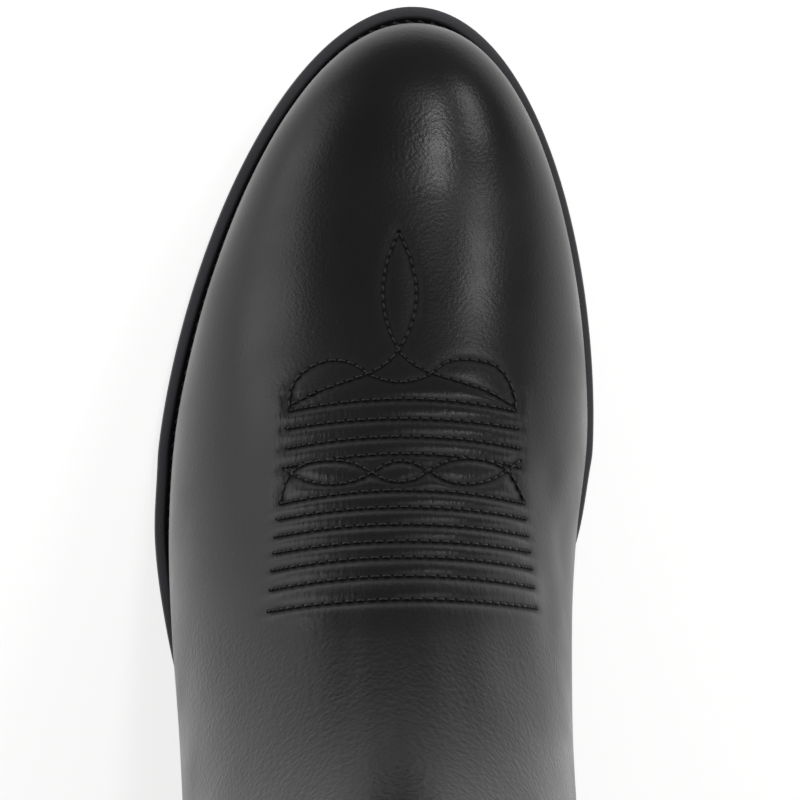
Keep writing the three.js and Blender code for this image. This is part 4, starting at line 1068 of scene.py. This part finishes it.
# %% Stitch down the pull straps
strap_sewn = float(np.interp(STRAP_TAIL - 4, strap_length, strap_knots))  # the stitching stops 4 mm short
for name, angle in (("lateral", 0.0), ("medial", math.pi)):
    place = strap_place(angle)
    lines = []
    for across in (0.1, 0.9):
        v = np.linspace(0.01, strap_sewn, 60)
        u = np.full_like(v, across)
        outward = np.array([math.cos(angle), 0, 0])
        spots = to_frame(*place(u, v).T) + outward * (STRAP / 2) * MM
        lines.append((spots, np.tile(outward, (len(v), 1))))
    for piece in sew(f"pull_strap_stitches_{name}", lines, EDGE_PITCH, EDGE_THREAD):
        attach(piece, "shaft")
print("each strap is sewn down with", len(lines), "lines")

# %% [markdown]
# ## Welt and rand
# The welt is a strip of leather sewn round the forepart. Its outer rim stands up, and a channel is cut
# beside it for the stitches that hold the sole on. We sweep its section along the edge of the sole:
# a grid again, one way along the edge and the other way round the section.

# %% Follow the sole's edge
def edge_path(side_end, toe, count=170):
    """Points s, f along the sole's edge from the outer side, round the toe or the heel, to the inner."""
    end = TIP - 0.02 if toe else HEEL_BACK + 0.02
    f = mix(side_end, end, np.sin(np.linspace(0, math.pi / 2, count)))
    outer = np.stack([sole_side(1, f), f], axis=1)
    inner = np.stack([-sole_side(-1, f), f], axis=1)[::-1]
    return np.concatenate([outer, inner[1:]])


def edge_normals(path, toe):
    t = np.gradient(path, axis=0)
    t /= np.linalg.norm(t, axis=1, keepdims=True)
    return np.stack([t[:, 1], -t[:, 0]], axis=1) * (1 if toe else -1)


print("points along the edge from heel to heel:", len(edge_path(84, True)))


# %% Sweep a strip along the edge
SWEEP_STEPS = 330


def sweep(name, side_end, toe, section, material):
    """A strip of one section, its corners given as (outwards, up) from the sole's top edge."""
    path = edge_path(side_end, toe)
    outward = edge_normals(path, toe)
    travel = np.concatenate([[0], np.cumsum(np.linalg.norm(np.diff(path, axis=0), axis=1))])
    section = np.array(section + section[:1], float)

    def place(u, v):
        at = np.interp(v * travel[-1], travel, np.arange(len(path)))
        pick = np.arange(len(path))
        base = np.stack([np.interp(at, pick, path[:, k]) for k in (0, 1)], axis=1)
        out = np.stack([np.interp(at, pick, outward[:, k]) for k in (0, 1)], axis=1)
        corner = np.rint(u * (len(section) - 1)).astype(int)
        flat = base + out * section[corner, :1]
        return np.stack([flat[:, 0], flat[:, 1], sole_top(flat[:, 1]) + section[corner, 1]], axis=1)

    bm = grid(len(section) - 1, SWEEP_STEPS, place)
    # groove marks the channel, which the welt's material darkens: partly its dye, partly painted shade
    groove = bm.verts.layers.float.new("groove")
    for vert in bm.verts:
        rise = vert.co.z / MM - float(sole_top(Y_OF_HEEL - vert.co.y / MM))
        vert[groove] = float(smoothstep(2.8, 2.5, rise)) if rise > 1.2 else 0
    bmesh.ops.remove_doubles(bm, verts=bm.verts, dist=1e-6)
    bmesh.ops.holes_fill(bm, edges=bm.edges)
    bmesh.ops.recalc_face_normals(bm, faces=bm.faces)
    strip = finish_mesh(bm, name, material)
    bevel = strip.modifiers.new("edge", "BEVEL")
    bevel.width = 0.12 * MM
    bevel.segments = 1
    bevel.limit_method = "ANGLE"
    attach(strip, "foot")
    return strip, path, outward


print("a strip has", SWEEP_STEPS, "steps along it")


# %% Welt leather
def welt_with_painted_sheen(name):
    """Black welt leather. Its grey colour is a painted reflection; down in the channel it is darker, partly
    its black dye and partly painted shade.
    """
    # a grey on black leather: painted reflection
    material = calf_leather(name, "525055", "615f64", 0.42, 0.5, 0.3)
    tree = material.node_tree
    surface = tree.nodes["Principled BSDF"]
    grey_sheen = surface.inputs["Base Color"].links[0].from_socket
    groove = add_node(tree, "ShaderNodeAttribute", attribute_name="groove").outputs["Fac"]
    # the channel is darkened to near black: partly its black dye, partly painted shade
    channel_dye_and_shade = add_node(tree, "ShaderNodeMix", {0: groove, 6: grey_sheen, 7: srgb("141315")}, data_type="RGBA")
    tree.links.new(channel_dye_and_shade.outputs[2], surface.inputs["Base Color"])
    return material


welt_leather = welt_with_painted_sheen("welt leather with painted sheen and shade")
print("welt material:", welt_leather.name)

# %% Welt and its lockstitch
THREAD_IN = 3.85  # how far the stitches lie inside the sole's edge
THREAD_UP = 2.62  # and above the sole's top
welt_section = [
    (-15, 0.3), (-0.3, 0.3), (0, 0.6), (0, 2.9), (-0.35, 3.3), (-2.2, 3.3), (-2.5, 3.05), (-2.8, 2.45),
    (-4.9, 2.4), (-5.6, 2.35), (-8.2, 2.1), (-9.2, 1.4), (-15, 1.4),
]
welt, welt_path, welt_outward = sweep("welt_leather", 84, True, welt_section, welt_leather)
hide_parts("welt")

# the lockstitch lies in the channel, each stitch leaning a little across it
keep = welt_path[:, 1] > 88
thread_line = (welt_path - THREAD_IN * welt_outward)[keep]
thread_base = sole_top(welt_path[keep, 1]) + THREAD_UP
welt_spots = to_frame(thread_line[:, 0], thread_line[:, 1], thread_base)
welt_ups = np.tile([0.0, 0.0, 1.0], (len(welt_spots), 1))
for piece in sew("welt_lockstitch", [(welt_spots, welt_ups)], 3.0, 0.42, pit=0.6, slant=0.55):
    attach(piece, "foot")
    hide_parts("welt_thread")
print("welt rim is 2.2 mm wide and stands 0.9 mm above its channel")

# %% Heel rand
rand_section = [(-11, 0.3), (-0.3, 0.3), (0, 0.6), (0, 2.1), (-0.3, 2.4), (-11, 2.4)]
rand, _, _ = sweep("heel_rand_leather", 83, False, rand_section, welt_leather)
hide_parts("heel_rand")
print("rand stands", rand_section[-1][1], "mm above the sole")

# %% [markdown]
# ## Outsole and heel
# The outsole is a thin slab with a rounded edge, so its grid runs along the foot and round the slab. The
# heel is a stack of lifts with a D-shaped outline: a circle is moved to that outline, extruded up,
# drawn out a little towards the top and bevelled, which leaves the fine lines between lifts.

# %% Outsole
EDGE_ROUND = 12  # only this much of each side is rounded, and the rest of the slab is flat


def slab_place(u, v):
    f = mix(HEEL_BACK + 0.02, TIP - 0.02, (1 - np.cos(v * math.pi)) / 2)
    outer, inner = sole_side(1, f), -sole_side(-1, f)
    centre, half = (outer + inner) / 2, (outer - inner) / 2
    around = u * 2 * math.pi + math.pi / 4
    side, up = np.cos(around), np.sin(around)
    square = 0.14
    edge = np.minimum(half, EDGE_ROUND) / half
    wide = np.sign(side) * np.abs(side) ** square
    wide = np.sign(wide) * (1 - edge * (1 - np.abs(wide)))
    high = 0.5 + 0.5 * np.sign(up) * np.abs(up) ** square
    return np.stack([centre + half * wide, f, mix(sole_under(f), sole_top(f), high)], axis=1)


sole_edge = calf_leather("burnished sole leather", "15110f", "241a14", 0.38, 0.9, 0.25)
bm = grid(72, 220, slab_place, wrap=True)
bmesh.ops.holes_fill(bm, edges=bm.edges)
bmesh.ops.recalc_face_normals(bm, faces=bm.faces)
outsole = finish_mesh(bm, "outsole_leather", sole_edge)
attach(outsole, "foot")
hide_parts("outsole")
print("outsole is", OUTSOLE, "mm thick")

# %% The heel's outline
CAP = 6
LIFT_COUNT = 5
HEEL_TAPER = 4.5  # how much smaller the heel is at the floor than at the seat, on each side
LIFT = (seat_height(HEEL_BREAST) - CAP) / LIFT_COUNT
HEEL_TOP = seat_height(0)
back_share = np.sin(np.linspace(0, math.pi / 2, 34))[1:]
heel_f = np.concatenate([np.linspace(1, 0.62, 8), 0.62 * (1 - back_share)])


def heel_ring(z, sloped=False):
    """The heel's outline at a height, as s, f, z: from the breast round the back to the breast again."""
    draw = 0 if sloped else HEEL_TAPER * (1 - z / HEEL_TOP)
    source = mix(HEEL_BACK + 0.6, HEEL_BREAST, heel_f)
    f = mix(HEEL_BACK + 0.6 + 1.3 * draw, HEEL_BREAST - 0.35 * draw, heel_f)
    outer = np.maximum(sole_side(1, source) - 0.4 - draw, 0.5)
    inner = -np.maximum(sole_side(-1, source) - 0.4 - draw, 0.5)
    s = np.concatenate([outer, inner[::-1]])
    f = np.concatenate([f, f[::-1]])
    height = seat_height(f) - 0.15 if sloped else np.full_like(f, z)
    return np.stack([s, f, height], axis=1)


print("heel seat is", round(float(np.ptp(heel_ring(HEEL_TOP)[:, 0])), 1), "mm wide")


# %% One layer of the heel
def heel_layer(name, low, high, material, sloped=False):
    bottom, top = heel_ring(low), heel_ring(high, sloped)
    bm = bmesh.new()
    bmesh.ops.create_circle(bm, cap_ends=True, segments=len(bottom), radius=1)
    lower = bm.verts[:]
    made = bmesh.ops.extrude_face_region(bm, geom=bm.faces[:], use_keep_orig=True)
    upper = [g for g in made["geom"] if isinstance(g, bmesh.types.BMVert)]
    for verts, outline in ((lower, bottom), (upper, top)):
        verts.sort(key=lambda v: math.atan2(v.co.y, v.co.x))
        for vert, co in zip(verts, to_frame(*outline.T)):
            vert.co = co
    bmesh.ops.recalc_face_normals(bm, faces=bm.faces)
    layer = finish_mesh(bm, name, material, smooth=False)
    bevel = layer.modifiers.new("edge", "BEVEL")
    bevel.width = 0.28 * MM
    bevel.segments = 2
    bevel.limit_method = "ANGLE"
    bevel.angle_limit = math.radians(50)
    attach(layer, "foot")
    return layer


print("a layer has", 2 * len(heel_ring(0)), "points before its edge is rounded")

# %% Stack the lifts
heel_edge = calf_leather("waxed heel edge", "121011", "1f1b1a", 0.3, 1.1, 0.2)
for i in range(LIFT_COUNT):
    low = CAP + i * LIFT
    last = i == LIFT_COUNT - 1
    lift = heel_layer(f"heel_lift_leather_{i + 1}", low, low + LIFT, heel_edge, last)
    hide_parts(f"heel_lift_{i + 1}")
print("heel stack:", LIFT_COUNT, "lifts of", round(LIFT, 1), "mm on a", CAP, "mm cap")

# %% [markdown]
# ## The heel cap, and materials inside the boot
# The inner pieces are seldom seen, but a repairer who takes the boot apart sees them all: fibreboard in
# the toe box and the counter, canvas interlining, a cork filler, a steel shank and brass nails. Their
# shapes from the frame are right as they stand, so they only need the finish of the real thing. Each of
# these finishes, and the heel cap's rubber, is two tones of one stuff, so one function makes them all.

# %% Two-tone materials
def two_tone(name, dark, light, scale, roughness, metallic=0.0, bump=0.3, depth=0.0002,
             stretch=None, cells=False, detail=6.0):
    """A material that mixes two colours by noise of a scale per metre, with bump from the same noise."""
    material, tree, surface = new_material(name)
    place = add_node(tree, "ShaderNodeTexCoord").outputs["Object"]
    if stretch:
        place = add_node(tree, "ShaderNodeMapping", {"Vector": place, "Scale": stretch}).outputs[0]
    if cells:
        amount = add_node(tree, "ShaderNodeTexVoronoi", {"Vector": place, "Scale": scale}).outputs["Distance"]
    else:
        noise = add_node(tree, "ShaderNodeTexNoise", {"Vector": place, "Scale": scale, "Detail": detail})
        amount = noise.outputs["Fac"]
    tone = add_node(tree, "ShaderNodeMix", {0: amount, 6: srgb(dark), 7: srgb(light)}, data_type="RGBA")
    tree.links.new(tone.outputs[2], surface.inputs["Base Color"])
    surface.inputs["Roughness"].default_value = roughness
    surface.inputs["Metallic"].default_value = metallic
    rise = add_node(tree, "ShaderNodeBump", {"Strength": bump, "Distance": depth, "Height": amount})
    tree.links.new(rise.outputs[0], surface.inputs["Normal"])
    return material


# heel cap: moulded rubber, dull black, with fine mineral specks
rubber = two_tone("moulded heel rubber", "131313", "1f1f1e", 900.0, 0.75, detail=3.0)
cap = heel_layer("heel_cap_rubber", 0, CAP, rubber)
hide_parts("heel_cap")
print("the heel cap is", rubber.name)

# %% Finish the inner pieces
inner_materials = {
    # fibreboard: brown paper pulp and latex, felted, with flecks a millimetre long
    two_tone("leather fibreboard", "6e5136", "a5825a", 900.0, 0.85):
        ["toe_box", "counter_stiffener", "shank_cover"],
    # canvas: pale cotton, threads about 0.7 mm apart, seen as fine streaks
    two_tone("cotton canvas", "9c9079", "c9bda4", 1400.0, 0.95, stretch=(1, 0.2, 1)):
        ["vamp_interlining", "insole_rib"],
    # oak-bark insole: pale tan, faint pores
    two_tone("oak-bark insole leather", "a67a4c", "caa070", 420.0, 0.7, bump=0.2): ["insole"],
    # sock lining: thin natural sheepskin over the heel seat
    two_tone("natural sheepskin", "9a7448", "b8905f", 700.0, 0.65): ["sock_lining"],
    # ground cork in latex: dark and light crumbs 2 mm across
    two_tone("ground cork", "5c4128", "b08a5a", 520.0, 0.95, bump=0.6, depth=0.0005, cells=True):
        ["cork_filler"],
    # rolled spring steel: blue-grey, drawn lengthways
    two_tone("rolled spring steel", "6d7074", "9a9da1", 300.0, 0.38, 1.0, 0.1, stretch=(8, 0.4, 8)):
        ["steel_shank"],
    # brass shoe nails: cut bright, a little tarnished
    two_tone("brass", "8f6c30", "c9a356", 1500.0, 0.34, 1.0, 0.15):
        [f"heel_nail_{i + 1}" for i in range(5)],
}
for material, names in inner_materials.items():
    for name in names:
        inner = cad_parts[name]
        inner.data.materials.clear()
        inner.data.materials.append(material)
print("inner pieces given real materials:", sum(len(names) for names in inner_materials.values()))

# %% [markdown]
# ## Floor, camera and light
# The boot stands on a pale floor that glows, brightest round the toe: painted light, since the floor is no
# lamp. It keeps the ground white under soft light, and the boot's sides pick up a pale rim from it. Black
# leather shows little colour of its own: nearly all that is seen is the shape of the lights in it. So each
# softbox is placed in the direction where its reflection falls on the part of the boot that it should draw
# out.

# %% Floor
GLOW = 0.69  # how bright the floor's painted glow is round the toe; it fades by 0.38 m
GLOW_CENTRE = (0.013, -0.045, 0)
FLOOR_HALF = 4
bm = bmesh.new()
bmesh.ops.create_grid(bm, x_segments=1, y_segments=1, size=FLOOR_HALF)
floor_material, _, floor_surface = new_material("pale studio floor")
floor_surface.inputs["Base Color"].default_value = srgb("f4f4f3")
floor_surface.inputs["Roughness"].default_value = 0.9
# painted light: the floor glows, brightest round the toe, so it stays white under soft light
floor_surface.inputs["Emission Color"].default_value = srgb("ffffff")
floor_tree = floor_material.node_tree
floor_place = add_node(floor_tree, "ShaderNodeTexCoord").outputs["Object"]
from_boot = add_node(floor_tree, "ShaderNodeVectorMath", {0: floor_place, 1: GLOW_CENTRE},
                     operation="DISTANCE").outputs["Value"]
glow = add_node(floor_tree, "ShaderNodeMapRange", {
    "Value": from_boot, "From Min": 0.15, "From Max": 0.38, "To Min": GLOW, "To Max": 0.3},
    interpolation_type="SMOOTHSTEP")
floor_tree.links.new(glow.outputs[0], floor_surface.inputs["Emission Strength"])
floor_mesh = bpy.data.meshes.new("floor")
bm.to_mesh(floor_mesh)
bm.free()
floor_mesh.materials.append(floor_material)
floor = bpy.data.objects.new("floor", floor_mesh)
bpy.context.scene.collection.objects.link(floor)
print("floor is", 2 * FLOOR_HALF, "m across")

# %% Camera
CAMERA_OVER = (13.6, 189.4, 550)  # s, f and height: above the vamp, a little to the outer side
camera_data = bpy.data.cameras.new("camera")
camera_data.sensor_width = 36
camera_data.lens = 100.4
camera = bpy.data.objects.new("camera", camera_data)
bpy.context.scene.collection.objects.link(camera)
camera.location = to_frame(*CAMERA_OVER)
bpy.context.scene.camera = camera
# looking nearly straight down, with the toe at the top: the camera's up is -Y and its right is -X
PITCH, YAW = 0.0308, 0.0352
ahead = Vector((math.sin(YAW) * -1, -math.sin(PITCH) * math.cos(YAW), -math.cos(PITCH) * math.cos(YAW)))
up = Vector((0, -math.cos(PITCH), math.sin(PITCH)))
right = ahead.cross(up).normalized()
up = right.cross(ahead).normalized()
camera.rotation_euler = Matrix((right, up, -ahead)).transposed().to_euler()
print("camera is", CAMERA_OVER[2], "mm up with a", round(camera_data.lens), "mm lens")

# %% Light
world = bpy.data.worlds.new("studio")
bpy.context.scene.world = world
world.use_nodes = True
world.node_tree.nodes["Background"].inputs["Color"].default_value = srgb("ffffff")
world.node_tree.nodes["Background"].inputs["Strength"].default_value = 0.22


def softbox(name, direction, far, size, power, target=(0, -0.02, 0.06)):
    """A square soft light, placed in a direction from the boot and turned to face it."""
    light = bpy.data.lights.new(name, "AREA")
    light.energy = power
    light.size = size
    box = bpy.data.objects.new(name, light)
    bpy.context.scene.collection.objects.link(box)
    box.location = Vector(target) + Vector(direction).normalized() * far
    box.rotation_euler = (Vector(target) - box.location).to_track_quat("-Z", "Y").to_euler()


softbox("toe softbox", (-0.22, -0.47, 0.855), 1.1, 0.13, 1.2)
softbox("high softbox", (-0.56, -0.6, 0.58), 1.1, 0.24, 1.1)
softbox("left softbox", (0.85, -0.45, 0.2), 0.95, 0.5, 1.6)
softbox("right softbox", (-0.93, -0.1, 0.2), 0.9, 0.4, 0.9)
bpy.context.scene.view_settings.view_transform = "Standard"
print("lights:", len(bpy.data.lights))
